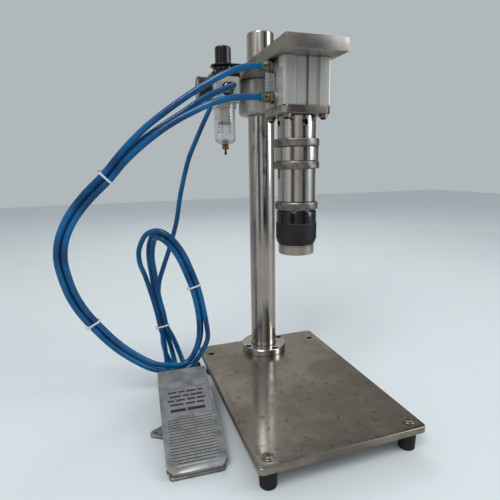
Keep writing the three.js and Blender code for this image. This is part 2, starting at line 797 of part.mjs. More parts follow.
function pedalValve() {
  const { halfWidth, front, back, top, portSpacing, portZ } = valve;
  const bottom = pedalBase.thick + GAP;
  const block = prism(roundedRectangle(-halfWidth, halfWidth, front, back, 3), bottom, top, 0.8, 2);
  const well = bar(plunger.radius + GAP, bottom + 1.6, top + 1, COARSE).translate(0, plunger.y, 0);
  const portBores = [-1, 0, 1].map((i) =>
    laid(bar(cylinder.portRadius, 0, 8, 16), [i * portSpacing, back - 7, portZ], [0, 1, 0]),
  );
  return cut(block, well, ...portBores);
}

const plungerTop = treadleTop(plunger.y - 6) - treadle.roof - 0.6;

function valvePlunger() {
  const { radius, low, y } = plunger;
  return turned([
    [0, low],
    [radius, low],
    [radius, plungerTop - 3],
    [9, plungerTop - 3],
    [9, plungerTop - 1],
    [6, plungerTop],
    [0, plungerTop],
  ], COARSE).translate(0, y, 0);
}

place("pedal_base", pedalBaseCasting(), castAluminium, footPedal);
place("pedal_treadle", pedalTreadle(), castAluminium, footPedal);
const pinHalf = treadle.halfWidth - 0.5;
const hingePin = laid(bar(hinge.pin, 0, 2 * pinHalf, 16), [-pinHalf, hinge.y, hinge.z], [1, 0, 0]);
place("pedal_hinge_pin", hingePin, polishedSteel, footPedal);
place("pedal_valve", pedalValve(), anodised, footPedal);
place("valve_plunger", valvePlunger(), blackPlastic, footPedal);
const pedalSpring = coilSpring(7.6, 0.8, valve.top + GAP, plungerTop - 3 - GAP, 3);
place("pedal_spring", pedalSpring.translate(0, plunger.y, 0), springSteel, footPedal);
const PEDAL_PORTS = { left: -1, middle: 0, right: 1 };
for (const [name, side] of Object.entries(PEDAL_PORTS)) {
  const mouthPlace = [side * valve.portSpacing, valve.back, valve.portZ];
  place("fitting_pedal_" + name, laid(pushFitting(), mouthPlace, [0, 1, 0]), nickel, footPedal);
}

// ---- hoses: three tied in a bundle to the pedal, and one air supply stub with its plug ----
// The bundle's middle line, from the first tie round the swoop, along the floor and once round the loop.
const bundleLine = [
  [-238, -88, 343], [-266, -78, 316], [-287, -70, 290], [-301, -62, 262], [-306, -55, 235],
  [-304, -48, 208], [-298, -42, 180], [-286, -37, 151], [-268, -33, 122], [-246, -29, 92],
  [-218, -26, 64], [-192, -23.5, 45], [-170, -22, 38], [-150, -21, 35], [-134, -20, 42], [-123, -20, 58],
  [-116, -20, 79], [-114, -20, 108], [-117, -20, 139], [-123, -20, 167], [-132, -20, 194],
  [-142, -20, 219], [-153, -19, 237], [-163, -14.5, 248], [-172, -6, 252], [-180, 6, 248],
  [-184, 17, 235], [-186, 24, 220], [-186, 27, 202], [-184, 27, 184], [-182, 24, 160], [-179, 20, 137],
  [-175, 16, 116], [-172, 13, 95],
];
const strandReach = 5.7;
const HOSE_END = fitting.mouth + 0.4;
// Where the outermost strand stands off from the bundle: the middle point, half its length, how far.
const looseStretches = [
  { middle: 16, half: 1.6, reach: 6 },
  { middle: 27.2, half: 4, reach: 13 },
];

function looseness(i) {
  return looseStretches.reduce((sum, { middle, half, reach }) => {
    const share = Math.abs(i - middle) / half;
    return share < 1 ? sum + reach * (0.5 + 0.5 * Math.cos(Math.PI * share)) : sum;
  }, 0);
}

// The bundle's line moved sideways to one strand's place round it.
function strand(angle, loose = false) {
  const line = bundleLine.map((point) => new THREE.Vector3(...point));
  const sideways = new THREE.Vector3(0, 1, 0);
  return line.map((point, i) => {
    const before = line[Math.max(i - 1, 0)];
    const after = line[Math.min(i + 1, line.length - 1)];
    const along = after.clone().sub(before).normalize();
    const across = sideways.clone().addScaledVector(along, -sideways.dot(along)).normalize();
    const up = along.clone().cross(across);
    const reach = strandReach + (loose ? looseness(i) : 0);
    return point
      .clone()
      .addScaledVector(across, strandReach * Math.sin(angle))
      .addScaledVector(up, reach * Math.cos(angle));
  });
}

// The last points of a strand: down behind the bundle's floor stretch, under it, and into a fitting.
function intoPedal(side, ...drop) {
  const local = [
    [side * valve.portSpacing, valve.back + 46, valve.portZ + 1],
    [side * valve.portSpacing, valve.back + 32, valve.portZ],
    [side * valve.portSpacing, valve.back + HOSE_END, valve.portZ],
  ];
  footPedal.updateMatrixWorld();
  const points = local.map((p) => new THREE.Vector3(...p).applyMatrix4(footPedal.matrixWorld));
  return [...drop.map((point) => new THREE.Vector3(...point)), ...points];
}

function hoseTube(route) {
  const points = route.map((p) => (p.isVector3 ? p : new THREE.Vector3(...p)));
  const curve = new THREE.CatmullRomCurve3(points, false, "centripetal");
  const steps = Math.min(90, Math.round(curve.getLength() / hose.step));
  return alongCurve(curve, steps, hose.radius, hose.sides);
}

const cylinderEnd = cylinderFace - HOSE_END;
const upperRoute = [
  [cylinderEnd, HEAD_Y, ports.upper], [-62, HEAD_Y, ports.upper - 0.5], [-80, -131.5, 467],
  [-98, -129, 459.5], [-114, -125, 451], [-133, -120, 440], [-163, -112, 420], [-192, -104, 398],
  [-219, -95.5, 372],
  ...strand((7 * Math.PI) / 6, true),
  ...intoPedal(-1, [-173, 12, 74], [-171, 11, 46], [-170.5, 3, 24]),
];
const lowerRoute = [
  [cylinderEnd, HEAD_Y, ports.lower], [-62, HEAD_Y, ports.lower], [-80, -131, 435], [-98, -128, 432],
  [-114, -125, 426.5], [-133, -119, 418], [-150, -115, 409.5], [-172, -110, 396], [-196, -104, 378],
  [-218, -97, 358],
  ...strand((11 * Math.PI) / 6),
  ...intoPedal(1, [-157, 12, 72], [-148, 11, 44], [-142, 2, 24]),
];
const outletRoute = [
  [unit.x, unit.y - unitFace - HOSE_END, UNIT_PORT_Z], [unit.x, -61, 462], [-66, -72, 460],
  [-75, -84, 455.5], [-88, -91, 450], [-104, -94, 443], [-123, -96, 432], [-146, -97, 417],
  [-170, -97, 402], [-195, -92.5, 385], [-218, -86, 365],
  ...strand(Math.PI / 2),
  ...intoPedal(0, [-165, 19, 72], [-159, 19, 44], [-156, 8, 23]),
];
const plug = { start: -141, y: 30, z: 7.6, radius: 7, length: 31 };
const inletRoute = [
  [unit.x, unit.y + unitFace + HOSE_END, UNIT_PORT_Z], [unit.x, 39, 462],
  [-64.5, 52, 457], [-70, 64, 443], [-80, 70, 422], [-92, 71, 397], [-106, 70, 367], [-123, 69, 309],
  [-133, 68, 261], [-141, 65, 236], [-151, 61, 209], [-162, 56, 183], [-171, 50, 159], [-174, 44, 134],
  [-173, 40, 110], [-170, 37, 86], [-172.5, 33, 62], [-168, 30.5, 36], [-159, 30, 17],
  [-149, 30, plug.z + 1.2], [plug.start - 0.4, plug.y, plug.z],
];

function airPlug() {
  const { radius, length } = plug;
  const body = turned([
    [0, 0],
    [radius - 1, 0],
    [radius, 1],
    [radius, 9],
    [4.4, 10],
    [4.4, 15],
    [5.6, 16],
    [5.6, 19],
    [4, 21],
    [4, length - 1],
    [3.4, length],
    [0, length],
  ], COARSE);
  const mouth = bar(socket.radius, -1, 7, 16);
  return laid(cut(body, mouth, bar(2.4, 2, length + 1, 12)), [plug.start, plug.y, plug.z], [1, 0, 0]);
}

const cordNames = ["hose_cylinder_upper", "hose_cylinder_lower", "hose_pedal_supply", "hose_air_inlet"];
[upperRoute, lowerRoute, outletRoute, inletRoute].forEach((route, i) => {
  place(cordNames[i], hoseTube(route), blueHose);
});
place("air_plug", airPlug(), nickel);

// ---- the origin: bottom centre of the machine, measured without its hoses ----
const bounds = new THREE.Box3();
machine.updateMatrixWorld(true);
machine.traverse((mesh) => {
  const onHose = mesh.name.startsWith("hose_") || mesh.name === "air_plug";
  if (mesh.isMesh && !onHose) bounds.expandByObject(mesh, true);
});
const middle = bounds.getCenter(new THREE.Vector3());
machine.position.set(-middle.x, -middle.y, -bounds.min.z);

export default machine;
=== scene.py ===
"""Finished look of a pneumatic capping machine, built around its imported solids.

Metres, +Z up, front towards -Y. The column stands behind the crimping head, the filter regulator
and the hoses are on the left, and the foot pedal stands on the floor beside the base plate.
"""
import json
import math

import bmesh
import bpy
from mathutils import Matrix, Vector


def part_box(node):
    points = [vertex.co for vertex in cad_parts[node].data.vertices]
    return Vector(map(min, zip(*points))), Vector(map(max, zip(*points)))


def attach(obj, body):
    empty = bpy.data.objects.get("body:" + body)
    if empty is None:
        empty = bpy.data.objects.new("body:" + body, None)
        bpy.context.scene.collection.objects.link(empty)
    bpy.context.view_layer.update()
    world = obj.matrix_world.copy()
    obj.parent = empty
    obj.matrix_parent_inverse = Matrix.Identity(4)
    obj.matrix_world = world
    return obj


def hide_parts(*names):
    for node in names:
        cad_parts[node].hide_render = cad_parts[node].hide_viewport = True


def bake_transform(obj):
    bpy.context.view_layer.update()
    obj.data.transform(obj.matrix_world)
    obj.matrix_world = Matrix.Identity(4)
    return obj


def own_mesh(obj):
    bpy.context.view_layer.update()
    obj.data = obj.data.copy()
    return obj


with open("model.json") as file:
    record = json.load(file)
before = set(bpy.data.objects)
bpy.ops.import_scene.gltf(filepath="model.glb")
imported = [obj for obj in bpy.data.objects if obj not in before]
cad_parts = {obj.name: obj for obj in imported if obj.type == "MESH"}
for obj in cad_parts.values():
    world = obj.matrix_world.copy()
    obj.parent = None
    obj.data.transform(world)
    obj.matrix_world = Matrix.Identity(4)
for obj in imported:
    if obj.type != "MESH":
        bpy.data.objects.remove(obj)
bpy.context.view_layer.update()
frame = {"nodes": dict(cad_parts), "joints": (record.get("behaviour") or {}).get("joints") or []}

MM = 0.001
ROUND = 72
SMALL_ROUND = 28
KNURL_COLUMNS = 200
KNURL_PITCH = 0.8 * MM
UP = Vector((0, 0, 1))


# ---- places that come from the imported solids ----
def middle(node):
    low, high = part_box(node)
    return (low + high) / 2


def axis_of(node):
    """The foot, at z = 0, of a round part's vertical axis."""
    centre = middle(node)
    return Vector((centre.x, centre.y, 0))


def levels(node):
    low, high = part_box(node)
    return low.z, high.z


def radius_of(node):
    low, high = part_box(node)
    return (high.x - low.x) / 2


COLUMN = axis_of("column")
HEAD = axis_of("nozzle")
UNIT = axis_of("regulator_knob")
press = next(joint for joint in frame["joints"] if joint["name"] == "pedal_press")
PEDAL_RIGHT = -Vector(press["axis"])
PEDAL_AHEAD = UP.cross(PEDAL_RIGHT)
HINGE_AHEAD = 14 * MM
PEDAL = Vector((press["pos_m"][0], press["pos_m"][1], 0)) - HINGE_AHEAD * PEDAL_AHEAD
PEDAL_TURN = math.atan2(PEDAL_RIGHT.y, PEDAL_RIGHT.x)


# ---- camera ----
def add_camera():
    place = Vector((-0.1827, -0.5126, 0.3512))
    yaw, pitch, roll = -0.322, 0.203, -0.018
    data = bpy.data.cameras.new("camera")
    data.lens = 29.14
    data.sensor_width = 36
    data.clip_start = 0.02
    camera = bpy.data.objects.new("camera", data)
    turn = Matrix.Rotation(yaw, 4, "Z") @ Matrix.Rotation(math.pi / 2 - pitch, 4, "X")
    camera.matrix_world = Matrix.Translation(place) @ turn @ Matrix.Rotation(roll, 4, "Z")
    bpy.context.scene.collection.objects.link(camera)
    bpy.context.scene.camera = camera


add_camera()


# ---- shader building ----
def feed(tree, made, inputs):
    """Sets a node's inputs, given as values or as the sockets that feed them."""
    for key, value in inputs.items():
        if isinstance(value, bpy.types.NodeSocket):
            tree.links.new(value, made.inputs[key])
        else:
            made.inputs[key].default_value = value


def add_node(tree, kind, inputs=None, **settings):
    made = tree.nodes.new(kind)
    for key, value in settings.items():
        setattr(made, key, value)
    feed(tree, made, inputs or {})
    return made


def new_group(name, inputs, outputs):
    """An empty node group; inputs and outputs are name: (socket type, default)."""
    tree = bpy.data.node_groups.new(name, "ShaderNodeTree")
    for key, (kind, default) in inputs.items():
        socket = tree.interface.new_socket(key, in_out="INPUT", socket_type=kind)
        if default is not None:
            socket.default_value = default
    for key, kind in outputs.items():
        tree.interface.new_socket(key, in_out="OUTPUT", socket_type=kind)
    return tree, tree.nodes.new("NodeGroupInput"), tree.nodes.new("NodeGroupOutput")


def blotch_group():
    """Soft patches: Mask is 0 to 1 over a noise of the given size."""
    floats = {"Scale": 20.0, "Detail": 4.0, "From": 0.45, "To": 0.6}
    inputs = {"Vector": ("NodeSocketVector", None)}
    inputs.update({key: ("NodeSocketFloat", value) for key, value in floats.items()})
    tree, given, result = new_group("blotches", inputs, {"Mask": "NodeSocketFloat"})
    sockets = given.outputs
    noise = add_node(
        tree,
        "ShaderNodeTexNoise",
        {"Vector": sockets["Vector"], "Scale": sockets["Scale"], "Detail": sockets["Detail"]},
    )
    spread = add_node(
        tree,
        "ShaderNodeMapRange",
        {"Value": noise.outputs["Fac"], "From Min": sockets["From"], "From Max": sockets["To"]},
    )
    tree.links.new(spread.outputs["Result"], result.inputs["Mask"])
    return tree


def streak_group():
    """Lines drawn out along the short axes of Stretch: Height is their depth."""
    inputs = {
        "Vector": ("NodeSocketVector", None),
        "Stretch": ("NodeSocketVector", (1.0, 1.0, 1.0)),
        "Scale": ("NodeSocketFloat", 400.0),
    }
    tree, given, result = new_group("streaks", inputs, {"Height": "NodeSocketFloat"})
    stretched = add_node(
        tree,
        "ShaderNodeVectorMath",
        {0: given.outputs["Vector"], 1: given.outputs["Stretch"]},
        operation="MULTIPLY",
    )
    noise = add_node(
        tree,
        "ShaderNodeTexNoise",
        {"Vector": stretched.outputs[0], "Scale": given.outputs["Scale"], "Detail": 3.0},
    )
    tree.links.new(noise.outputs["Fac"], result.inputs["Height"])
    return tree


def worn_edge_group():
    """Mask is 1 along outer edges, broken up by a fine noise."""
    inputs = {
        "Vector": ("NodeSocketVector", None),
        "Radius": ("NodeSocketFloat", 0.0008),
        "Amount": ("NodeSocketFloat", 1.0),
    }
    tree, given, result = new_group("worn_edges", inputs, {"Mask": "NodeSocketFloat"})
    rounded = add_node(tree, "ShaderNodeBevel", {"Radius": given.outputs["Radius"]}, samples=4)
    surface = add_node(tree, "ShaderNodeNewGeometry")
    agree = add_node(
        tree,
        "ShaderNodeVectorMath",
        {0: rounded.outputs["Normal"], 1: surface.outputs["Normal"]},
        operation="DOT_PRODUCT",
    )
    noise = add_node(
        tree, "ShaderNodeTexNoise", {"Vector": given.outputs["Vector"], "Scale": 260.0, "Detail": 3.0}
    )
    edge = add_node(
        tree,
        "ShaderNodeMapRange",
        {"Value": agree.outputs["Value"], "From Min": 0.995, "From Max": 0.9},
    )
    broken = add_node(
        tree,
        "ShaderNodeMath",
        {0: edge.outputs["Result"], 1: noise.outputs["Fac"]},
        operation="MULTIPLY",
    )
    scaled = add_node(
        tree,
        "ShaderNodeMath",
        {0: broken.outputs[0], 1: given.outputs["Amount"]},
        operation="MULTIPLY",
        use_clamp=True,
    )
    tree.links.new(scaled.outputs[0], result.inputs["Mask"])
    return tree


def crevice_shade_group():
    """Painted shade where surfaces meet: 1 deep in a groove or a corner, 0 on open faces."""
    inputs = {
        "Distance": ("NodeSocketFloat", 0.0025),
        "Amount": ("NodeSocketFloat", 1.0),
    }
    tree, given, result = new_group("shade_in_crevices", inputs, {"Mask": "NodeSocketFloat"})
    reach = {"Distance": given.outputs["Distance"]}
    openness = add_node(tree, "ShaderNodeAmbientOcclusion", reach, samples=4).outputs["AO"]
    span = {"Value": openness, "From Min": 0.92, "From Max": 0.55, "To Max": given.outputs["Amount"]}
    shut = add_node(tree, "ShaderNodeMapRange", span)
    tree.links.new(shut.outputs["Result"], result.inputs["Mask"])
    return tree


BLOTCHES = blotch_group()
STREAKS = streak_group()
WORN_EDGES = worn_edge_group()
# Painted shade in grooves, slots and corners, worked out by ambient occlusion.
CREVICE_SHADE = crevice_shade_group()


def use_group(tree, group, inputs):
    made = tree.nodes.new("ShaderNodeGroup")
    made.node_tree = group
    feed(tree, made, inputs)
    return made.outputs[0]


def mix_colour(tree, mask, first, second):
    """first where the mask is 0 and second where it is 1; each is a colour or a socket."""
    mix = add_node(tree, "ShaderNodeMix", data_type="RGBA")
    tree.links.new(mask, mix.inputs["Factor"])
    for socket, value in ((mix.inputs[6], first), (mix.inputs[7], second)):
        if isinstance(value, bpy.types.NodeSocket):
            tree.links.new(value, socket)
        else:
            socket.default_value = (*value, 1)
    return mix.outputs[2]


def patches_of(tree, place, scale, low, high, detail=4.0):
    """Soft patches that set in where the noise passes low and are full from high."""
    inputs = {"Vector": place, "Scale": scale, "Detail": detail, "From": low, "To": high}
    return use_group(tree, BLOTCHES, inputs)


def spread_value(tree, value, low, high, from_low=0.0, from_high=1.0):
    """The value spread from one range onto another."""
    span = {"Value": value, "From Min": from_low, "From Max": from_high, "To Min": low, "To Max": high}
    return add_node(tree, "ShaderNodeMapRange", span).outputs["Result"]


def new_material(name):
    material = bpy.data.materials.new(name)
    material.use_nodes = True
    tree = material.node_tree
    shader = tree.nodes["Principled BSDF"]
    place = add_node(tree, "ShaderNodeTexCoord").outputs["Object"]
    return material, tree, shader, place


def add_bump(tree, shader, height, strength, distance):
    relief = {"Height": height, "Strength": strength, "Distance": distance}
    made = add_node(tree, "ShaderNodeBump", relief)
    tree.links.new(made.outputs["Normal"], shader.inputs["Normal"])


def metal(name, light, dark, rough, stretch, patch=28.0, bump=0.15, wear=0.5, metallic=1.0):
    """A bare metal with drawn or turned lines, darker patches, painted shade in its grooves and corners and
    brighter worn edges.
    """
    material, tree, shader, place = new_material(name)
    lines = use_group(tree, STREAKS, {"Vector": place, "Stretch": stretch, "Scale": 420.0})
    patches = patches_of(tree, place, patch, 0.4, 0.66)
    edges = use_group(tree, WORN_EDGES, {"Vector": place, "Amount": wear})
    body = mix_colour(tree, patches, light, dark)
    lined = mix_colour(tree, spread_value(tree, lines, 0.0, 0.35, 0.35, 0.7), body, dark)
    # Painted shade: grooves, slots and corners darkened by ambient occlusion.
    shade_in_crevices = use_group(tree, CREVICE_SHADE, {"Amount": 0.6})
    with_painted_shade = mix_colour(tree, shade_in_crevices, lined, tuple(value * 0.25 for value in dark))
    bright = tuple(min(1.0, value * 1.5) for value in light)
    tree.links.new(mix_colour(tree, edges, with_painted_shade, bright), shader.inputs["Base Color"])
    mixed = add_node(tree, "ShaderNodeMath", {0: lines, 1: patches}, operation="ADD").outputs[0]
    tree.links.new(spread_value(tree, mixed, rough[0], rough[1], 0.3, 1.5), shader.inputs["Roughness"])
    shader.inputs["Metallic"].default_value = metallic
    add_bump(tree, shader, lines, bump, 0.0001)
    return material


def plastic(name, colour, faded, rough, grain=900.0, bump=0.05, coat=0.0):
    """A moulded plastic with a fine grain and slightly faded patches."""
    material, tree, shader, place = new_material(name)
    patches = patches_of(tree, place, 45.0, 0.4, 0.7)
    fine = use_group(tree, STREAKS, {"Vector": place, "Scale": grain})
    tree.links.new(mix_colour(tree, patches, colour, faded), shader.inputs["Base Color"])
    tree.links.new(spread_value(tree, patches, rough, rough + 0.1), shader.inputs["Roughness"])
    shader.inputs["Coat Weight"].default_value = coat
    shader.inputs["Coat Roughness"].default_value = 0.12
    add_bump(tree, shader, fine, bump, 0.0002)
    return material


def stained_steel():
    """Satin stainless with brown cloudy stains, drips, a long fine grain and paler sawn sides."""
    material, tree, shader, place = new_material("stained_steel")
    grain = use_group(tree, STREAKS, {"Vector": place, "Stretch": (1.0, 0.04, 1.0), "Scale": 700.0})
    clouds = patches_of(tree, place, 17.0, 0.42, 0.6, 6.0)
    drips = patches_of(tree, place, 130.0, 0.62, 0.68, 3.0)
    edges = use_group(tree, WORN_EDGES, {"Vector": place, "Radius": 0.0012, "Amount": 1.1})
    body = mix_colour(tree, clouds, (0.45, 0.42, 0.385), (0.33, 0.305, 0.275))
    spotted = mix_colour(tree, spread_value(tree, drips, 0.0, 0.6), body, (0.16, 0.14, 0.125))
    grained = mix_colour(tree, spread_value(tree, grain, 0.0, 0.22, 0.4, 0.7), spotted, (0.26, 0.24, 0.22))
    facing = add_node(tree, "ShaderNodeNewGeometry").outputs["Normal"]
    upward = add_node(tree, "ShaderNodeSeparateXYZ", {"Vector": facing}).outputs["Z"]
    cut_side = spread_value(tree, upward, 1.0, 0.0, 0.2, 0.8)
    sawn = mix_colour(tree, clouds, (0.60, 0.575, 0.54), (0.33, 0.31, 0.285))
    sided = mix_colour(tree, cut_side, grained, sawn)
    tree.links.new(mix_colour(tree, edges, sided, (0.62, 0.60, 0.57)), shader.inputs["Base Color"])
    smooth = spread_value(tree, clouds, 0.15, 0.27)
    rough = add_node(tree, "ShaderNodeMath", {0: smooth, 1: spread_value(tree, cut_side, 0.0, 0.25)})
    tree.links.new(rough.outputs[0], shader.inputs["Roughness"])
    shader.inputs["Metallic"].default_value = 1
    add_bump(tree, shader, grain, 0.06, 0.0001)
    return material


def cast_metal():
    """Sand-cast aluminium, worn bright on its ridges, with grey and bluish stains and painted shade in its
    grooves.
    """
    material, tree, shader, place = new_material("cast_metal")
    pits = use_group(tree, STREAKS, {"Vector": place, "Scale": 900.0})
    grime = patches_of(tree, place, 60.0, 0.44, 0.66, 5.0)
    blue = patches_of(tree, place, 26.0, 0.5, 0.66, 3.0)
    edges = use_group(tree, WORN_EDGES, {"Vector": place, "Radius": 0.0009, "Amount": 1.5})
    body = mix_colour(tree, grime, (0.46, 0.46, 0.465), (0.25, 0.245, 0.235))
    tinted = mix_colour(tree, spread_value(tree, blue, 0.0, 0.3), body, (0.30, 0.38, 0.44))
    # Painted shade: the grooves between the ridges darkened by ambient occlusion.
    shade_in_crevices = use_group(tree, CREVICE_SHADE, {"Amount": 0.85})
    with_painted_shade = mix_colour(tree, shade_in_crevices, tinted, (0.05, 0.048, 0.045))
    tree.links.new(mix_colour(tree, edges, with_painted_shade, (0.85, 0.84, 0.82)), shader.inputs["Base Color"])
    tree.links.new(spread_value(tree, grime, 0.38, 0.6), shader.inputs["Roughness"])
    shader.inputs["Metallic"].default_value = 0.85
    add_bump(tree, shader, pits, 0.35, 0.0003)
    return material


def hose_plastic():
    """Glossy blue tube whose colour drifts a little along its length."""
    material, tree, shader, place = new_material("hose_blue")
    drift = patches_of(tree, place, 24.0, 0.35, 0.65, 2.0)
    blue = mix_colour(tree, drift, (0.0, 0.125, 0.32), (0.0, 0.05, 0.16))
    tree.links.new(blue, shader.inputs["Base Color"])
    tree.links.new(spread_value(tree, drift, 0.14, 0.22), shader.inputs["Roughness"])
    shader.inputs["Coat Weight"].default_value = 0.25
    shader.inputs["Coat Roughness"].default_value = 0.1
    shader.inputs["IOR"].default_value = 1.42
    return material


def clear_plastic(name, tint, rough, clear=1.0):
    """A clear moulding with a slight haze; clear is the share of light that goes through."""
    material, tree, shader, place = new_material(name)
    haze = patches_of(tree, place, 60.0, 0.4, 0.7)
    tree.links.new(spread_value(tree, haze, rough, rough + 0.06), shader.inputs["Roughness"])
    shader.inputs["Base Color"].default_value = (*tint, 1)
    shader.inputs["Transmission Weight"].default_value = clear
    shader.inputs["IOR"].default_value = 1.49
    return material


ACROSS = (1.0, 0.03, 1.0)
UPRIGHT = (1.0, 1.0, 0.03)
TURNED = (0.03, 0.03, 1.0)
EVERY_WAY = (1.0, 1.0, 1.0)
STAINED_STEEL = stained_steel()
GROUND_STEEL = metal(
    "ground_steel", (0.52, 0.505, 0.485), (0.36, 0.345, 0.325), (0.28, 0.44), ACROSS, patch=34.0
)
SCUFFED_STEEL = metal(
    "scuffed_steel", (0.50, 0.46, 0.42), (0.30, 0.26, 0.23), (0.22, 0.42), TURNED, patch=60.0
)
POLISHED_STEEL = metal(
    "polished_steel", (0.68, 0.67, 0.655), (0.55, 0.535, 0.51), (0.1, 0.2), UPRIGHT, patch=16.0, bump=0.02
)
TURNED_STEEL = metal(
    "turned_steel", (0.70, 0.685, 0.665), (0.55, 0.525, 0.495), (0.13, 0.24), TURNED, patch=22.0, bump=0.03
)
KNURLED_STEEL = metal(
    "knurled_steel", (0.46, 0.44, 0.42), (0.19, 0.18, 0.17), (0.36, 0.5), EVERY_WAY, patch=150.0, bump=0.3
)
ANODISED = metal(
    "anodised_aluminium",
    (0.62, 0.61, 0.595),
    (0.52, 0.51, 0.49),
    (0.3, 0.4),
    UPRIGHT,
    patch=20.0,
    bump=0.08,
    metallic=0.6,
)
COLLAR_ALLOY = metal(
    "collar_alloy",
    (0.56, 0.55, 0.53),
    (0.44, 0.42, 0.39),
    (0.3, 0.42),
    TURNED,
    patch=26.0,
    bump=0.08,
    metallic=0.75,
)
CAST_METAL = cast_metal()
NICKEL = metal("worn_nickel", (0.50, 0.46, 0.40), (0.25, 0.21, 0.165), (0.16, 0.34), TURNED, patch=140.0)
BRASS = metal("brass", (0.72, 0.42, 0.17), (0.42, 0.22, 0.09), (0.18, 0.34), TURNED, patch=120.0)
WIRE_STEEL = metal("wire_steel", (0.6, 0.6, 0.6), (0.45, 0.45, 0.45), (0.2, 0.3), UPRIGHT)
BLACK_OXIDE = metal(
    "black_oxide",
    (0.05, 0.05, 0.055),
    (0.03, 0.03, 0.032),
    (0.3, 0.45),
    UPRIGHT,
    patch=60.0,
    bump=0.05,
    wear=0.25,
)
LABEL_GREY = metal(
    "label_grey", (0.36, 0.36, 0.375), (0.26, 0.26, 0.27), (0.4, 0.55), ACROSS, patch=70.0, metallic=0.6
)
BLACK_GLOSS = plastic("black_gloss", (0.005, 0.005, 0.007), (0.01, 0.01, 0.012), 0.1, coat=0.3)
BLACK_GRIP = plastic("black_grip", (0.007, 0.007, 0.009), (0.015, 0.015, 0.018), 0.48, bump=0.25)
BLACK_PLASTIC = plastic("black_plastic", (0.007, 0.007, 0.009), (0.014, 0.014, 0.017), 0.22, coat=0.2)
BLACK_RUBBER = plastic(
    "black_rubber", (0.008, 0.008, 0.009), (0.016, 0.016, 0.016), 0.6, grain=500.0, bump=0.3
)
GREY_PLASTIC = plastic("grey_plastic", (0.42, 0.43, 0.42), (0.33, 0.335, 0.33), 0.38)
TEAL_PLASTIC = plastic("teal_plastic", (0.01, 0.16, 0.135), (0.008, 0.11, 0.10), 0.3, coat=0.3)
WHITE_NYLON = plastic("white_nylon", (0.72, 0.73, 0.74), (0.6, 0.61, 0.62), 0.35)
DIAL_WHITE = plastic("dial_white", (0.8, 0.8, 0.78), (0.74, 0.74, 0.72), 0.5)
PRINT_BLACK = plastic("print_black", (0.012, 0.012, 0.014), (0.03, 0.03, 0.03), 0.6)
PRINT_BLUE = plastic("print_blue", (0.05, 0.12, 0.25), (0.08, 0.16, 0.3), 0.5)
LABEL_PALE = plastic("label_pale", (0.42, 0.5, 0.56), (0.36, 0.43, 0.48), 0.4)
SINTERED = plastic("sintered_filter", (0.52, 0.45, 0.33), (0.42, 0.36, 0.26), 0.8, grain=700.0, bump=0.6)
HOSE_BLUE = hose_plastic()
CLEAR_BOWL = clear_plastic("clear_bowl", (0.93, 0.94, 0.94), 0.08, 0.86)
CLEAR_LENS = clear_plastic("clear_lens", (0.98, 0.98, 0.98), 0.02)


# ---- mesh building ----
def new_piece(bm, name, materials, sharp=32):
    """A finished object at the origin, shaded smooth but for edges sharper than the given degrees."""
    limit = math.radians(sharp)
    for face in bm.faces:
        face.smooth = True
    for edge in bm.edges:
        edge.smooth = edge.calc_face_angle(0.0) < limit
    mesh = bpy.data.meshes.new(name)
    bm.to_mesh(mesh)
    bm.free()
    piece = bpy.data.objects.new(name, mesh)
    bpy.context.scene.collection.objects.link(piece)
    for material in materials if isinstance(materials, (list, tuple)) else [materials]:
        mesh.materials.append(material)
    return piece


def finish_piece(bm, name, materials, body, stands_for=(), sharp=32):
    piece = new_piece(bm, name, materials, sharp)
    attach(piece, body)
    if stands_for:
        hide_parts(*stands_for)
    return piece


def turned(profile, foot=(0, 0, 0), segments=ROUND, closed=False):
    """A solid of revolution about a vertical axis from (radius, height) pairs."""
    bm = bmesh.new()
    verts = [bm.verts.new((radius, 0, height)) for radius, height in profile]
    pairs = list(zip(verts, verts[1:]))
    if closed:
        pairs.append((verts[-1], verts[0]))
    edges = [bm.edges.new(pair) for pair in pairs]
    bmesh.ops.spin(
        bm,
        geom=verts + edges,
        cent=(0, 0, 0),
        axis=(0, 0, 1),
        angle=math.tau,
        steps=segments,
        use_merge=True,
    )
    bmesh.ops.remove_doubles(bm, verts=bm.verts, dist=1e-6)
    bmesh.ops.recalc_face_normals(bm, faces=bm.faces)
    bmesh.ops.translate(bm, vec=foot, verts=bm.verts)
    return bm


def in_mm(profile):
    return [(radius * MM, height * MM) for radius, height in profile]


def prism(outline, bottom, top):
    """A solid between two heights from an outline of (x, y) pairs."""
    bm = bmesh.new()
    face = bm.faces.new([bm.verts.new((x, y, bottom)) for x, y in outline])
    grown = bmesh.ops.extrude_face_region(bm, geom=[face])
    lifted = [item for item in grown["geom"] if isinstance(item, bmesh.types.BMVert)]
    bmesh.ops.translate(bm, vec=(0, 0, top - bottom), verts=lifted)
    bmesh.ops.recalc_face_normals(bm, faces=bm.faces)
    return bm


def block(low, high):
    bm = bmesh.new()
    bmesh.ops.create_cube(bm, size=1)
    low, high = Vector(low), Vector(high)
    bmesh.ops.scale(bm, vec=high - low, verts=bm.verts)
    bmesh.ops.translate(bm, vec=(low + high) / 2, verts=bm.verts)
    return bm


def softened(bm, width, segments=2, sharp=32):
    """Rounds every edge sharper than the given degrees."""
    limit = math.radians(sharp)
    edges = [edge for edge in bm.edges if edge.calc_face_angle(0.0) > limit]
    bmesh.ops.bevel(
        bm,
        geom=edges,
        offset=width,
        offset_type="OFFSET",
        segments=segments,
        profile=0.5,
        affect="EDGES",
        material=-1,
        clamp_overlap=True,
    )
    return bm


def laid(bm, place, direction):
    """Turns a shape made along +Z so that it points along a direction, from a place."""
    turn = UP.rotation_difference(Vector(direction)).to_matrix()
    bmesh.ops.rotate(bm, cent=(0, 0, 0), matrix=turn, verts=bm.verts)
    bmesh.ops.translate(bm, vec=place, verts=bm.verts)
    return bm


def moved(bm, matrix):
    bmesh.ops.transform(bm, matrix=matrix, verts=bm.verts)
    return bm


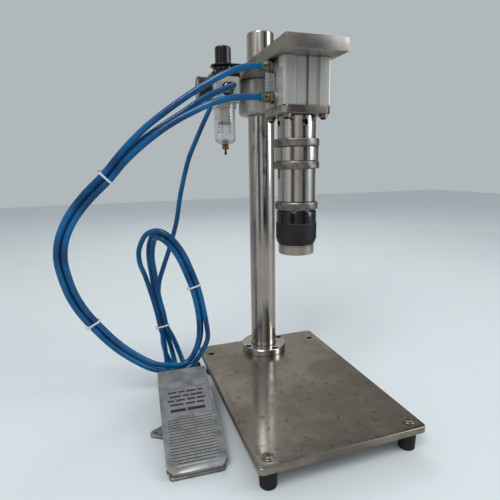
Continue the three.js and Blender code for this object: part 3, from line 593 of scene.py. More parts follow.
def merged(*parts):
    """Several shapes as one mesh."""
    whole = parts[0]
    for part in parts[1:]:
        mesh = bpy.data.meshes.new("part")
        part.to_mesh(mesh)
        part.free()
        whole.from_mesh(mesh)
        bpy.data.meshes.remove(mesh)
    return whole


def bored(bm, *cutters):
    """The shape with each cutter taken away from it."""
    objects = []
    for shape in (bm, *cutters):
        mesh = bpy.data.meshes.new("bored")
        shape.to_mesh(mesh)
        shape.free()
        made = bpy.data.objects.new("bored", mesh)
        bpy.context.scene.collection.objects.link(made)
        objects.append(made)
    body = objects[0]
    for cutter in objects[1:]:
        modifier = body.modifiers.new("bore", "BOOLEAN")
        modifier.operation = "DIFFERENCE"
        modifier.solver = "EXACT"
        modifier.object = cutter
    depsgraph = bpy.context.evaluated_depsgraph_get()
    result = bmesh.new()
    result.from_mesh(body.evaluated_get(depsgraph).to_mesh())
    body.evaluated_get(depsgraph).to_mesh_clear()
    for made in objects:
        mesh = made.data
        bpy.data.objects.remove(made)
        bpy.data.meshes.remove(mesh)
    bmesh.ops.remove_doubles(result, verts=result.verts, dist=2e-6)
    return result


def from_node(node, edge):
    """A clean copy of a CAD node's solid, with its flat faces whole and its edges rounded."""
    bm = bmesh.new()
    bm.from_mesh(frame["nodes"][node].data)
    bmesh.ops.remove_doubles(bm, verts=bm.verts, dist=2e-6)
    flat = math.radians(0.5)
    bmesh.ops.dissolve_limit(
        bm, angle_limit=flat, use_dissolve_boundaries=False, verts=bm.verts, edges=bm.edges
    )
    return softened(bm, edge)


def arc(centre, radius, start, end, steps):
    """Points on an arc, with its angles in degrees."""
    turns = [math.radians(start + (end - start) * i / steps) for i in range(steps + 1)]
    return [(centre[0] + radius * math.cos(a), centre[1] + radius * math.sin(a)) for a in turns]


def rounded_rectangle(low, high, radius, steps=6):
    corners = [
        ((high[0] - radius, low[1] + radius), -90),
        ((high[0] - radius, high[1] - radius), 0),
        ((low[0] + radius, high[1] - radius), 90),
        ((low[0] + radius, low[1] + radius), 180),
    ]
    return [point for centre, start in corners for point in arc(centre, radius, start, start + 90, steps)]


def bar(radius, bottom, top, foot=(0, 0, 0), segments=SMALL_ROUND):
    return turned([(0, bottom), (radius, bottom), (radius, top), (0, top)], foot, segments)


def hexagon_bar(radius, bottom, top):
    return prism(arc((0, 0), radius, 0, 300, 5), bottom, top)


def knurled(bm, foot, depth, bottom, top, inner):
    """Presses a diamond knurl into the rim: every other vertex of its grid goes inwards."""
    pitch = math.tau / KNURL_COLUMNS
    centre = Vector((foot[0], foot[1]))
    for vert in bm.verts:
        offset = vert.co.xy - centre
        if bottom - 1e-6 < vert.co.z < top + 1e-6 and offset.length > inner:
            column = round(math.atan2(offset.y, offset.x) / pitch)
            row = round((vert.co.z - bottom) / KNURL_PITCH)
            if (column + row) % 2:
                shrunk = centre + offset * (1 - depth / offset.length)
                vert.co.x, vert.co.y = shrunk
    return bm


def socket_screw(head_radius, head_height, socket):
    """A cap screw's head standing on z = 0, with its hexagon socket."""
    rim = 0.5 * MM
    head = turned(
        [
            (0, 0),
            (head_radius, 0),
            (head_radius, head_height - rim),
            (head_radius - rim, head_height),
            (0, head_height),
        ],
        segments=SMALL_ROUND,
    )
    return bored(head, hexagon_bar(socket, head_height * 0.45, head_height + MM))


# ---- hoses ----
HOSE_RADIUS = 4 * MM
STRAND_REACH = 5.7 * MM
LOOSE_STRETCHES = [(16, 1.6, 6 * MM), (27.2, 4, 13 * MM)]
BUNDLE_LINE = [
    (-0.238, -0.088, 0.343), (-0.266, -0.078, 0.316), (-0.287, -0.070, 0.290), (-0.301, -0.062, 0.262),
    (-0.306, -0.055, 0.235), (-0.304, -0.048, 0.208), (-0.298, -0.042, 0.180), (-0.286, -0.037, 0.151),
    (-0.268, -0.033, 0.122), (-0.246, -0.029, 0.092), (-0.218, -0.026, 0.064), (-0.192, -0.0235, 0.045),
    (-0.170, -0.022, 0.038), (-0.150, -0.021, 0.035), (-0.134, -0.020, 0.042), (-0.123, -0.020, 0.058),
    (-0.116, -0.020, 0.079), (-0.114, -0.020, 0.108), (-0.117, -0.020, 0.139), (-0.123, -0.020, 0.167),
    (-0.132, -0.020, 0.194), (-0.142, -0.020, 0.219), (-0.153, -0.019, 0.237), (-0.163, -0.0145, 0.248),
    (-0.172, -0.006, 0.252), (-0.180, 0.006, 0.248), (-0.184, 0.017, 0.235), (-0.186, 0.024, 0.220),
    (-0.186, 0.027, 0.202), (-0.184, 0.027, 0.184), (-0.182, 0.024, 0.160), (-0.179, 0.020, 0.137),
    (-0.175, 0.016, 0.116), (-0.172, 0.013, 0.095),
]
UPPER_START = [
    (-0.0496, -0.133, 0.472), (-0.062, -0.133, 0.4715), (-0.080, -0.1315, 0.467), (-0.098, -0.129, 0.4595),
    (-0.114, -0.125, 0.451), (-0.133, -0.120, 0.440), (-0.163, -0.112, 0.420), (-0.192, -0.104, 0.398),
    (-0.219, -0.0955, 0.372),
]
LOWER_START = [
    (-0.0496, -0.133, 0.4358), (-0.062, -0.133, 0.4358), (-0.080, -0.131, 0.435), (-0.098, -0.128, 0.432),
    (-0.114, -0.125, 0.4265), (-0.133, -0.119, 0.418), (-0.150, -0.115, 0.4095), (-0.172, -0.110, 0.396),
    (-0.196, -0.104, 0.378), (-0.218, -0.097, 0.358),
]
OUTLET_START = [
    (-0.063, -0.0498, 0.463), (-0.063, -0.061, 0.462), (-0.066, -0.072, 0.460), (-0.075, -0.084, 0.4555),
    (-0.088, -0.091, 0.450), (-0.104, -0.094, 0.443), (-0.123, -0.096, 0.432), (-0.146, -0.097, 0.417),
    (-0.170, -0.097, 0.402), (-0.195, -0.0925, 0.385), (-0.218, -0.086, 0.365),
]
INLET_ROUTE = [
    (-0.063, 0.0278, 0.463), (-0.063, 0.039, 0.462), (-0.0645, 0.052, 0.457), (-0.070, 0.064, 0.443),
    (-0.080, 0.070, 0.422), (-0.092, 0.071, 0.397), (-0.106, 0.070, 0.367), (-0.123, 0.069, 0.309),
    (-0.133, 0.068, 0.261), (-0.141, 0.065, 0.236), (-0.151, 0.061, 0.209), (-0.162, 0.056, 0.183),
    (-0.171, 0.050, 0.159), (-0.174, 0.044, 0.134), (-0.173, 0.040, 0.110), (-0.170, 0.037, 0.086),
    (-0.1725, 0.033, 0.062), (-0.168, 0.0305, 0.036), (-0.159, 0.030, 0.017), (-0.149, 0.030, 0.0088),
    (-0.1414, 0.030, 0.0076),
]
VALVE_BACK = 160 * MM
PORT_SPACING = 16 * MM
INTO_PORT = [(46 * MM, 15 * MM), (32 * MM, 14 * MM), (18.8 * MM, 14 * MM)]


def from_column(points):
    return [COLUMN + Vector(point) for point in points]


def bundle_frame(place):
    """The bundle's middle, its direction and its two cross directions at a place along its line."""
    line = from_column(BUNDLE_LINE)
    index = min(int(place), len(line) - 1)
    share = place - index
    following = line[min(index + 1, len(line) - 1)]
    along = (line[min(index + 1, len(line) - 1)] - line[max(index - 1, 0)]).normalized()
    across = Vector((0, 1, 0))
    across = (across - along * across.dot(along)).normalized()
    return line[index].lerp(following, share), along, across, along.cross(across)


def looseness(index):
    """How far the outermost strand stands off from the bundle at a point of its line."""
    total = 0
    for middle_point, half, reach in LOOSE_STRETCHES:
        share = abs(index - middle_point) / half
        if share < 1:
            total += reach * (0.5 + 0.5 * math.cos(math.pi * share))
    return total


def strand(degrees, loose=False):
    """One hose's line inside the bundle, at its place round the bundle's middle."""
    turn = math.radians(degrees)
    points = []
    for index in range(len(BUNDLE_LINE)):
        centre, _, across, up = bundle_frame(index)
        reach = STRAND_REACH + (looseness(index) if loose else 0)
        points.append(centre + STRAND_REACH * math.sin(turn) * across + reach * math.cos(turn) * up)
    return points


def into_pedal(side, *drop):
    """Down behind the bundle's floor stretch, under it, and forwards into one port of the valve."""
    port = PEDAL + side * PORT_SPACING * PEDAL_RIGHT
    last = [port + (VALVE_BACK + behind) * PEDAL_AHEAD + height * UP for behind, height in INTO_PORT]
    return from_column(drop) + last


def smooth_route(points, spacing=0.004):
    """Points close together on the centripetal Catmull-Rom curve through the given ones."""
    ends = [points[0] * 2 - points[1], *points, points[-1] * 2 - points[-2]]
    route = []
    for p0, p1, p2, p3 in zip(ends, ends[1:], ends[2:], ends[3:]):
        knots = [0.0]
        for a, b in ((p0, p1), (p1, p2), (p2, p3)):
            knots.append(knots[-1] + math.sqrt((b - a).length))
        t0, t1, t2, t3 = knots
        count = max(2, round((p2 - p1).length / spacing))
        for step in range(count):
            t = t1 + (t2 - t1) * step / count
            a1 = p0.lerp(p1, (t - t0) / (t1 - t0))
            a2 = p1.lerp(p2, (t - t1) / (t2 - t1))
            a3 = p2.lerp(p3, (t - t2) / (t3 - t2))
            b1 = a1.lerp(a2, (t - t0) / (t2 - t0))
            b2 = a2.lerp(a3, (t - t1) / (t3 - t1))
            route.append(b1.lerp(b2, (t - t1) / (t2 - t1)))
    return [*route, points[-1]]


def mesh_of(curve):
    """The mesh that a curve or a text makes; the curve itself is removed."""
    holder = bpy.data.objects.new(curve.name, curve)
    bpy.context.scene.collection.objects.link(holder)
    evaluated = holder.evaluated_get(bpy.context.evaluated_depsgraph_get())
    mesh = bpy.data.meshes.new_from_object(evaluated)
    bpy.data.objects.remove(holder)
    bpy.data.curves.remove(curve)
    bm = bmesh.new()
    bm.from_mesh(mesh)
    bpy.data.meshes.remove(mesh)
    return bm


def tube_along(route, name, radius, sides=4):
    """A closed round tube along a line of points, made by a curve's bevel."""
    curve = bpy.data.curves.new(name, "CURVE")
    curve.dimensions = "3D"
    curve.bevel_depth = radius
    curve.bevel_resolution = sides
    curve.use_fill_caps = True
    spline = curve.splines.new("POLY")
    spline.points.add(len(route) - 1)
    for point, place in zip(spline.points, route):
        point.co = (*place, 1)
    bm = mesh_of(curve)
    bmesh.ops.remove_doubles(bm, verts=bm.verts, dist=1e-6)
    bmesh.ops.recalc_face_normals(bm, faces=bm.faces)
    return bm


def bends_with_arm(piece):
    """Bakes the piece's placement into its mesh."""
    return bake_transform(piece)


def add_hose(node, points):
    route = smooth_route(points)
    bm = tube_along(route, node, HOSE_RADIUS)
    piece = new_piece(bm, node + "_tube", HOSE_BLUE, 60)
    bends_with_arm(piece)
    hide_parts(node)
    return piece, route


TIE_OUTSIDE = HOSE_RADIUS + 0.2 * MM
TIE_THICK = 1.1 * MM
TIE_WIDE = 2.6 * MM


def tie_loop(grow):
    """The outline of a band drawn tight round the three strands, in the bundle's cross section."""
    outline = []
    for degrees in (90, 210, 330):
        turn = math.radians(degrees)
        centre = (STRAND_REACH * math.sin(turn), STRAND_REACH * math.cos(turn))
        facing = 90 - degrees
        outline += arc(centre, TIE_OUTSIDE + grow, facing + 60, facing - 60, 8)
    return outline


def add_tie(name, place, tail_turn, tail_length):
    """A nylon tie round the bundle with its lock and its cut tail."""
    centre, along, across, up = bundle_frame(place)
    half = TIE_WIDE / 2
    band = bored(prism(tie_loop(TIE_THICK), -half, half), prism(tie_loop(0), -2 * half, 2 * half))
    lock_low = STRAND_REACH + HOSE_RADIUS - 0.4 * MM
    lock = block((-2.2 * MM, lock_low, -2.4 * MM), (2.2 * MM, lock_low + 3.6 * MM, 2.4 * MM))
    tail = block((2 * MM, lock_low + 1.2 * MM, -half), (2 * MM + tail_length, lock_low + 2.2 * MM, half))
    clip = merged(softened(lock, 0.5 * MM), softened(tail, 0.3 * MM))
    clip = moved(clip, Matrix.Rotation(math.radians(tail_turn), 4, "Z"))
    band = merged(softened(band, 0.25 * MM, 1), clip)
    turn = Matrix((across, up, along)).transposed().to_4x4()
    piece = new_piece(moved(band, Matrix.Translation(centre) @ turn), name, WHITE_NYLON)
    bends_with_arm(piece)
    return piece


AIR_PLUG = [
    (2.4, 0), (4.5, 0), (5.6, 0.4), (6, 1), (6, 1.6), (7, 2), (7, 8.6), (6.6, 9), (4.4, 9.6), (4.4, 15),
    (5.6, 15.8), (5.6, 19), (4, 20.6), (4, 30), (3.4, 31), (2.4, 31),
]


def add_air_plug():
    """The plug on the inlet hose's free end, its nose towards the right."""
    centre = middle("air_plug")
    back = Vector((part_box("air_plug")[0].x, centre.y, centre.z))
    bm = laid(turned(in_mm(AIR_PLUG), segments=48, closed=True), back, (1, 0, 0))
    return finish_piece(bm, "air_plug_body", NICKEL, "stand", ["air_plug"])


def add_hoses():
    ties = [
        add_tie("hose_tie_swoop", 0.05, 200, 9 * MM),
        add_tie("hose_tie_fall", 7.6, 150, 7 * MM),
        add_tie("hose_tie_loop_right", 19.05, 20, 4 * MM),
        add_tie("hose_tie_loop_left", 32.95, 170, 5 * MM),
    ]
    upper_drop = ((-0.173, 0.012, 0.074), (-0.171, 0.011, 0.046), (-0.1705, 0.003, 0.024))
    lower_drop = ((-0.157, 0.012, 0.072), (-0.148, 0.011, 0.044), (-0.142, 0.002, 0.024))
    outlet_drop = ((-0.165, 0.019, 0.072), (-0.159, 0.019, 0.044), (-0.156, 0.008, 0.023))
    upper = from_column(UPPER_START) + strand(210, True) + into_pedal(-1, *upper_drop)
    lower = from_column(LOWER_START) + strand(330) + into_pedal(1, *lower_drop)
    outlet = from_column(OUTLET_START) + strand(90) + into_pedal(0, *outlet_drop)
    routes = {
        "hose_cylinder_upper": (upper, ties),
        "hose_cylinder_lower": (lower, []),
        "hose_pedal_supply": (outlet, []),
        "hose_air_inlet": (from_column(INLET_ROUTE), [add_air_plug()]),
    }
    for node, (points, carried) in routes.items():
        piece, route = add_hose(node, points)


add_hoses()


# ---- base plate, feet and column ----
CORNERS = ["front_left", "front_right", "back_left", "back_right"]
SUNK_DEPTH = 6 * MM
GAP = 0.3 * MM


def counterbore(narrow, wide, step, low, high, foot):
    """A stepped cutter with a small countersink at its top edge."""
    profile = [
        (0, low - MM),
        (narrow, low - MM),
        (narrow, step),
        (wide, step),
        (wide, high - 0.4 * MM),
        (wide + 0.8 * MM, high + 0.4 * MM),
        (0, high + 0.4 * MM),
    ]
    return turned(profile, foot, SMALL_ROUND)


def add_base_plate():
    low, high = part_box("base_plate")
    outline = rounded_rectangle((low.x, low.y), (high.x, high.y), 6 * MM, 8)
    plate = softened(prism(outline, low.z, high.z), 1.2 * MM, 3)
    cutters = []
    for corner in CORNERS:
        foot = axis_of("foot_" + corner)
        if corner.startswith("back"):
            cutters.append(counterbore(3.4 * MM, 5.2 * MM, high.z - SUNK_DEPTH, low.z, high.z, foot))
        else:
            cutters.append(bar(3.4 * MM, low.z - MM, high.z + MM, foot))
    plate = bored(plate, *cutters)
    finish_piece(plate, "base_plate_ground", STAINED_STEEL, "stand", ["base_plate"])


def add_feet():
    top = levels("foot_front_left")[1]
    profile = [
        (3.4, 7), (7, 7), (7.4, 6.6), (7.4, 0.4), (7.8, 0), (9.4, 0), (10, 0.6), (10.1, 2), (11, 22.6),
        (11, 24.6), (10.4, top / MM), (3.4, top / MM),
    ]
    for corner in CORNERS:
        name = "foot_" + corner
        bm = turned(in_mm(profile), axis_of(name), 48, closed=True)
        finish_piece(bm, name + "_rubber", BLACK_RUBBER, "stand", [name])


def washer_and_dome():
    """A flat washer on z = 0 under a low domed head with a hexagon socket."""
    thick = 0.9
    washer = turned(
        in_mm([(3, 0), (7.3, 0), (7.5, 0.3), (7.5, 0.6), (7.2, thick), (3, thick)]),
        segments=48,
        closed=True,
    )
    dome = arc((0, 0), 1, 0, 90, 7)
    outline = [(0, 0), (5.2, 0)] + [(3 + 2.2 * x, 0.3 + 1.5 * y) for x, y in dome] + [(0, 1.8)]
    head = bored(turned(in_mm(outline), segments=40), hexagon_bar(2.3 * MM, 0.6 * MM, 5 * MM))
    return merged(washer, moved(head, Matrix.Translation(thick * MM * UP)))


def add_foot_screws():
    plate_top = levels("base_plate")[1]
    for corner in CORNERS:
        name = "foot_screw_" + corner
        foot = axis_of(name)
        low, high = levels(name)
        if corner.startswith("back"):
            seat = plate_top - SUNK_DEPTH + GAP
            head = socket_screw(4.7 * MM, high - seat, 2.6 * MM)
            finish = BLACK_OXIDE
        else:
            seat = plate_top + GAP
            head = washer_and_dome()
            finish = SCUFFED_STEEL
        shank = bar(3 * MM, low, seat + 0.2 * MM, foot)
        screw = merged(shank, moved(head, Matrix.Translation(foot + seat * UP)))
        finish_piece(screw, name + "_cap", finish, "stand", [name])


def add_column():
    low, high = levels("column")
    radius = radius_of("column")
    rim = arc((radius - 2.5 * MM, high - 2.5 * MM), 2.5 * MM, 0, 90, 5)
    bm = turned([(0, low), (radius, low), *rim, (0, high)], COLUMN, 128)
    finish_piece(bm, "column_polished", POLISHED_STEEL, "stand", ["column"])


def add_column_flange():
    low, high = levels("column_flange")
    radius = radius_of("column_flange")
    inner = radius_of("column") + GAP
    rim = 0.9 * MM
    profile = [(inner, low), (radius, low), (radius, high - rim), (radius - rim, high)]
    profile += [(inner + rim, high), (inner, high - rim)]
    disc = turned(profile, COLUMN, 128, closed=True)
    places = []
    for index in range(4):
        turn = math.radians(15 + 90 * index)
        places.append(COLUMN + 32.5 * MM * Vector((math.cos(turn), math.sin(turn), 0)))
    seat = high - SUNK_DEPTH
    cutters = [counterbore(3.4 * MM, 5.2 * MM, seat, low, high, place) for place in places]
    disc = bored(disc, *cutters)
    finish_piece(disc, "column_flange_turned", TURNED_STEEL, "stand", ["column_flange"])
    for index, place in enumerate(places):
        head = socket_screw(4.7 * MM, 4.6 * MM, 2.5 * MM)
        screw = moved(head, Matrix.Translation(place + seat * UP))
        finish_piece(screw, f"flange_screw_{index + 1}", BLACK_OXIDE, "stand")


add_base_plate()
add_feet()
add_foot_screws()
add_column()
add_column_flange()


# ---- arm, clamp collar and cylinder ----
def add_arm_plate():
    low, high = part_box("arm_plate")
    hub = 37 * MM
    half = (high.x - low.x) / 2
    front = low.y - COLUMN.y
    shoulder = -57 * MM
    touch = math.degrees(math.atan2(shoulder, half) + math.acos(hub / math.hypot(half, shoulder)))
    outline = [(-half, shoulder), (-half, front), (half, front), (half, shoulder)]
    outline += arc((0, 0), hub, touch, 180 - touch, 48)
    outline = [(x + COLUMN.x, y + COLUMN.y) for x, y in outline]
    bm = softened(prism(outline, low.z, high.z), 0.9 * MM, 2, 20)
    cutters = [bar(radius_of("column") + GAP, low.z - MM, high.z + MM, COLUMN, 96)]
    for index in range(4):
        cutters.append(bar(3.4 * MM, low.z - MM, high.z + MM, axis_of(f"clamp_bolt_{index + 1}")))
    bm = bored(bm, *cutters)
    finish_piece(bm, "arm_plate_ground", GROUND_STEEL, "arm", ["arm_plate"])


def add_clamp_collar():
    low, high = levels("clamp_collar")
    radius = radius_of("clamp_collar")
    inner = radius_of("column") + GAP
    soft = 5 * MM
    corner = arc((radius - soft, low + soft), soft, -90, 0, 6)
    profile = [(inner + 0.6 * MM, low), *corner, (radius, high - 0.5 * MM), (radius - 0.5 * MM, high)]
    profile += [(inner, high), (inner, low + 0.6 * MM)]
    bm = turned(profile, COLUMN, 96, closed=True)
    slit = block((-1.5 * MM, inner - 3 * MM, low - MM), (1.5 * MM, radius + 3 * MM, high + MM))
    cutters = [moved(slit, Matrix.Translation(COLUMN))]
    across = Vector((1, 0, 0))
    seat = 11 * MM
    screws = []
    for height in (low + 13 * MM, low + 37 * MM):
        place = COLUMN + Vector((0, 29 * MM, height))
        cutters.append(laid(bar(5.6 * MM, seat, 30 * MM), place, across))
        cutters.append(laid(bar(3.2 * MM, -20 * MM, 20 * MM), place, across))
        head = socket_screw(4.9 * MM, 5 * MM, 2.5 * MM)
        screws.append(laid(head, place + seat * across, across))
        screws.append(laid(bar(3 * MM, -18 * MM, seat + 0.1 * MM), place, across))
    bm = bored(bm, *cutters)
    finish_piece(bm, "clamp_collar_turned", COLLAR_ALLOY, "arm", ["clamp_collar"])
    finish_piece(merged(*screws), "clamp_collar_screws", BLACK_OXIDE, "arm")


def extruded_outline(half):
    """Round corner pads, a face set back between them and a T slot in each face's middle."""
    pad, set_back, mouth, groove = 16.5 * MM, 2.6 * MM, 2.2 * MM, 3.6 * MM
    face = half - set_back
    corner = arc((half - 3.5 * MM, half - 3.5 * MM), 3.5 * MM, 0, 90, 6)
    side = [(pad + 0.4 * MM, half), (pad, half - 0.4 * MM), (pad - 0.3 * MM, face + 0.5 * MM)]
    side += [(pad - 0.9 * MM, face), (mouth, face), (mouth, face - 1.2 * MM)]
    side += [(groove, face - 1.2 * MM), (groove, face - 3.2 * MM)]
    side += [(-x, y) for x, y in reversed(side)]
    outline = []
    for quarter in range(4):
        turn = quarter * math.pi / 2
        cosine, sine = math.cos(turn), math.sin(turn)
        outline += [(x * cosine - y * sine, x * sine + y * cosine) for x, y in corner + side]
    return outline


CYLINDER_PORTS = ("fitting_cylinder_upper", "fitting_cylinder_lower")
PORT_RADIUS = 5.2 * MM


def add_cylinder():
    low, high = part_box("cylinder_body")
    centre = Vector((HEAD.x, HEAD.y, 0))
    outline = [(x + centre.x, y + centre.y) for x, y in extruded_outline((high.y - low.y) / 2)]
    cutters = [bar(25 * MM, low.z - MM, high.z - 10 * MM, centre, 64)]
    ports = [Vector((low.x, centre.y, middle(node).z)) for node in CYLINDER_PORTS]
    for port in ports:
        cutters.append(laid(bar(PORT_RADIUS, -MM, 12 * MM), port, (1, 0, 0)))
    body = bored(prism(outline, low.z, high.z), *cutters)
    finish_piece(body, "cylinder_extrusion", ANODISED, "arm", ["cylinder_body"], 26)
    for node, port in zip(CYLINDER_PORTS, ports):
        foot = port + Vector((3 * MM, 0, 0))
        boss = softened(laid(bar(7.4 * MM, 0, 2.9 * MM, segments=48), foot, (-1, 0, 0)), 0.4 * MM)
        hole = laid(bar(PORT_RADIUS, -MM, 4 * MM), foot, (-1, 0, 0))
        finish_piece(bored(boss, hole), node + "_boss", ANODISED, "arm")
    add_cylinder_label(low, centre)


def add_head_flange():
    plate = from_node("head_flange", 0.9 * MM)
    finish_piece(plate, "head_flange_worn", SCUFFED_STEEL, "arm", ["head_flange"])


def add_clamp_bolts():
    """Each clamp bolt shows a flanged nut under the head flange and its own threaded end."""
    for index in range(4):
        name = f"clamp_bolt_{index + 1}"
        low, high = levels(name)
        seat = levels("head_flange")[0] - GAP
        foot = axis_of(name)
        rim = seat - 1.4 * MM
        profile = [(3 * MM, low + 2 * MM), (4.6 * MM, low + 2 * MM), (5 * MM, low + 2.5 * MM), (5 * MM, rim)]
        profile += [(6 * MM, rim), (6 * MM, seat), (3 * MM, seat)]
        nut = turned(profile, foot, 40, closed=True)
        finish_piece(nut, name + "_collar", SCUFFED_STEEL, "arm")
        profile = [(0, low), (3 * MM, low), (3.4 * MM, low + 0.4 * MM), (3.4 * MM, low + 1.9 * MM)]
        profile += [(2.9 * MM, low + 2.1 * MM), (2.9 * MM, high), (0, high)]
        socket = moved(hexagon_bar(1.9 * MM, low - MM, low + 1.4 * MM), Matrix.Translation(foot))
        end = bored(turned(profile, foot), socket)
        finish_piece(end, name + "_shank", BLACK_OXIDE, "arm", [name])


def add_cylinder_label(low, centre):
    """A pale rating label on the rear pad of the port side, with plain bars for its print."""
    half_wide = 4.6 * MM
    across = centre.y + 22.6 * MM
    bottom, top = 439 * MM, 469 * MM
    low_corner = (low.x - 0.12 * MM, across - half_wide, bottom)
    sheet = block(low_corner, (low.x + 0.1 * MM, across + half_wide, top))
    finish_piece(sheet, "cylinder_label", LABEL_PALE, "arm")
    rows = []
    for index in range(7):
        height = bottom + (3 + 3.9 * index) * MM
        reach = (3.4 if index % 2 else 2.4) * MM
        low_corner = (low.x - 0.2 * MM, across - reach, height)
        rows.append(block(low_corner, (low.x - 0.1 * MM, across + reach, height + 1.5 * MM)))
    finish_piece(merged(*rows), "cylinder_label_bars", PRINT_BLUE, "arm")


add_arm_plate()
add_clamp_collar()
add_cylinder()
add_head_flange()
add_clamp_bolts()


# ---- push-in fittings ----
FITTING_BARREL = [
    (0, -5.5), (4.5, -5.5), (4.5, 0.4), (6.6, 0.5), (6.6, 8), (5.7, 8.4), (5.7, 9.3), (6.5, 9.7), (6.5, 12),
    (6, 12.4), (6, 13.2), (6.5, 13.6), (6.5, 16.2), (6, 16.7), (4.4, 16.7), (4.4, 12), (0, 12),
]
RELEASE_RING = [
    (4.15, 15), (5.2, 15), (5.2, 17), (5.9, 17.2), (6.3, 17.6), (6.3, 18.7), (5.9, 19.2), (4.5, 19.3),
    (4.15, 19),
]


def add_fitting(name, direction, body, ring_material):
    """Hexagon, waisted barrel and release ring, pointing along the port's direction."""
    direction = Vector(direction)
    place = middle(name) - 6.45 * MM * direction
    nut = softened(hexagon_bar(7.9 * MM, 0.3 * MM, 7.6 * MM), 0.5 * MM)
    barrel = merged(nut, turned(in_mm(FITTING_BARREL), segments=40))
    finish_piece(laid(barrel, place, direction), name + "_body", NICKEL, body, [name])
    ring = turned(in_mm(RELEASE_RING), segments=40, closed=True)
    finish_piece(laid(ring, place, direction), name + "_ring", ring_material, body)


def add_fittings():
    for name in CYLINDER_PORTS:
        add_fitting(name, (-1, 0, 0), "arm", TEAL_PLASTIC)
    add_fitting("fitting_outlet", (0, -1, 0), "arm", BLACK_PLASTIC)
    add_fitting("fitting_inlet", (0, 1, 0), "arm", TEAL_PLASTIC)
    for side in ("left", "middle", "right"):
        add_fitting("fitting_pedal_" + side, PEDAL_AHEAD, "stand", TEAL_PLASTIC)


add_fittings()


# ---- crimping head ----
def add_upper_barrel():
    """The tube that hangs from the flange, cross-drilled for a tightening bar."""
    low, high = levels("upper_barrel")
    radius = radius_of("upper_barrel")
    rim = 0.5 * MM
    inner = 20 * MM
    hole = 404.6 * MM
    profile = [(inner, low), (radius, low), (radius, high - rim), (radius - rim, high), (inner, high)]
    bm = turned(profile, HEAD, 112, closed=True)
    ways = ((1, 0, 0), (0, 1, 0))
    cutters = [laid(bar(4 * MM, -40 * MM, 40 * MM), HEAD + hole * UP, way) for way in ways]
    bm = bored(bm, *cutters)
    finish_piece(bm, "upper_barrel_polished", TURNED_STEEL, "arm", ["upper_barrel"])


def add_lower_barrel():
    """The guide tube of the ram, with an upright slot for the ram's key on its left."""
    low, high = levels("lower_barrel")
    radius = radius_of("lower_barrel")
    rim = 0.5 * MM
    inner = 22.4 * MM
    slot_low, slot_high, half = 333 * MM, 361 * MM, 3 * MM
    profile = [(inner, low), (radius - rim, low), (radius, low + rim), (radius, high), (inner, high)]
    bm = turned(profile, HEAD, 112, closed=True)
    slot = block((-radius - 2 * MM, -half, slot_low + half), (-inner + 3 * MM, half, slot_high))
    end = laid(bar(half, inner - 3 * MM, radius + 2 * MM), (0, 0, slot_low + half), (-1, 0, 0))
    bm = bored(bm, *[moved(shape, Matrix.Translation(HEAD)) for shape in (slot, end)])
    finish_piece(bm, "lower_barrel_polished", TURNED_STEEL, "arm", ["lower_barrel"])


def add_knurled_ring(node):
    low, high = levels(node)
    radius = radius_of(node)
    inner = radius_of("lower_barrel") + 0.5 * MM
    rim = 1.3 * MM
    steps = max(2, round((high - low - 2 * rim) / KNURL_PITCH))
    rows = [low + rim + KNURL_PITCH * step for step in range(steps + 1)]
    profile = [(inner, low), (radius - rim, low), (radius - 0.4 * MM, low + 0.45 * rim)]
    profile += [(radius, height) for height in rows]
    profile += [(radius - 0.4 * MM, high - 0.45 * rim), (radius - rim, high), (inner, high)]
    bm = turned(profile, HEAD, KNURL_COLUMNS, closed=True)
    knurled(bm, HEAD, 0.3 * MM, rows[0], rows[-1], radius - 0.2 * MM)
    finish_piece(bm, node + "_knurled", KNURLED_STEEL, node, [node], 60)


def add_stroke_adjuster():
    node = "stroke_adjuster"
    low, high = levels(node)
    radius = radius_of(node)
    inner = radius_of("lower_barrel") + 0.5 * MM
    rim = 0.6 * MM
    profile = [(inner, low), (radius - rim, low), (radius, low + rim), (radius, high - rim)]
    profile += [(radius - rim, high), (inner, high)]
    bm = turned(profile, HEAD, 128, closed=True)
    deep, half = 1.6 * MM, 2 * MM
    notches = []
    for index in range(4):
        turn = Matrix.Rotation(math.radians(35 + 90 * index), 4, "Z")
        notch = block((radius - deep, -half, high - deep), (radius + 2 * MM, half, high + MM))
        notches.append(moved(notch, Matrix.Translation(HEAD) @ turn))
    finish_piece(bored(bm, *notches), node + "_turned", TURNED_STEEL, node, [node])


def add_ram():
    """The ram's tube, open below for the collet, with its key in the lower barrel's slot."""
    low, high = levels("ram_tube")
    radius, bore, rod = 22 * MM, 14.2 * MM, 7.3 * MM
    bore_top = 330 * MM
    solid = turned([(0, low), (radius, low), (radius, high), (0, high)], HEAD, 96)
    below = turned([(0, low - MM), (bore, low - MM), (bore, bore_top), (0, bore_top)], HEAD, 64)
    tube = bored(solid, below, bar(rod, high - 13 * MM, high + MM, HEAD, 48))
    key = laid(bar(2.7 * MM, 15 * MM, 24.4 * MM), HEAD + (high - 5 * MM) * UP, (-1, 0, 0))
    finish_piece(merged(tube, key), "ram_tube_polished", TURNED_STEEL, "ram", ["ram_tube"])


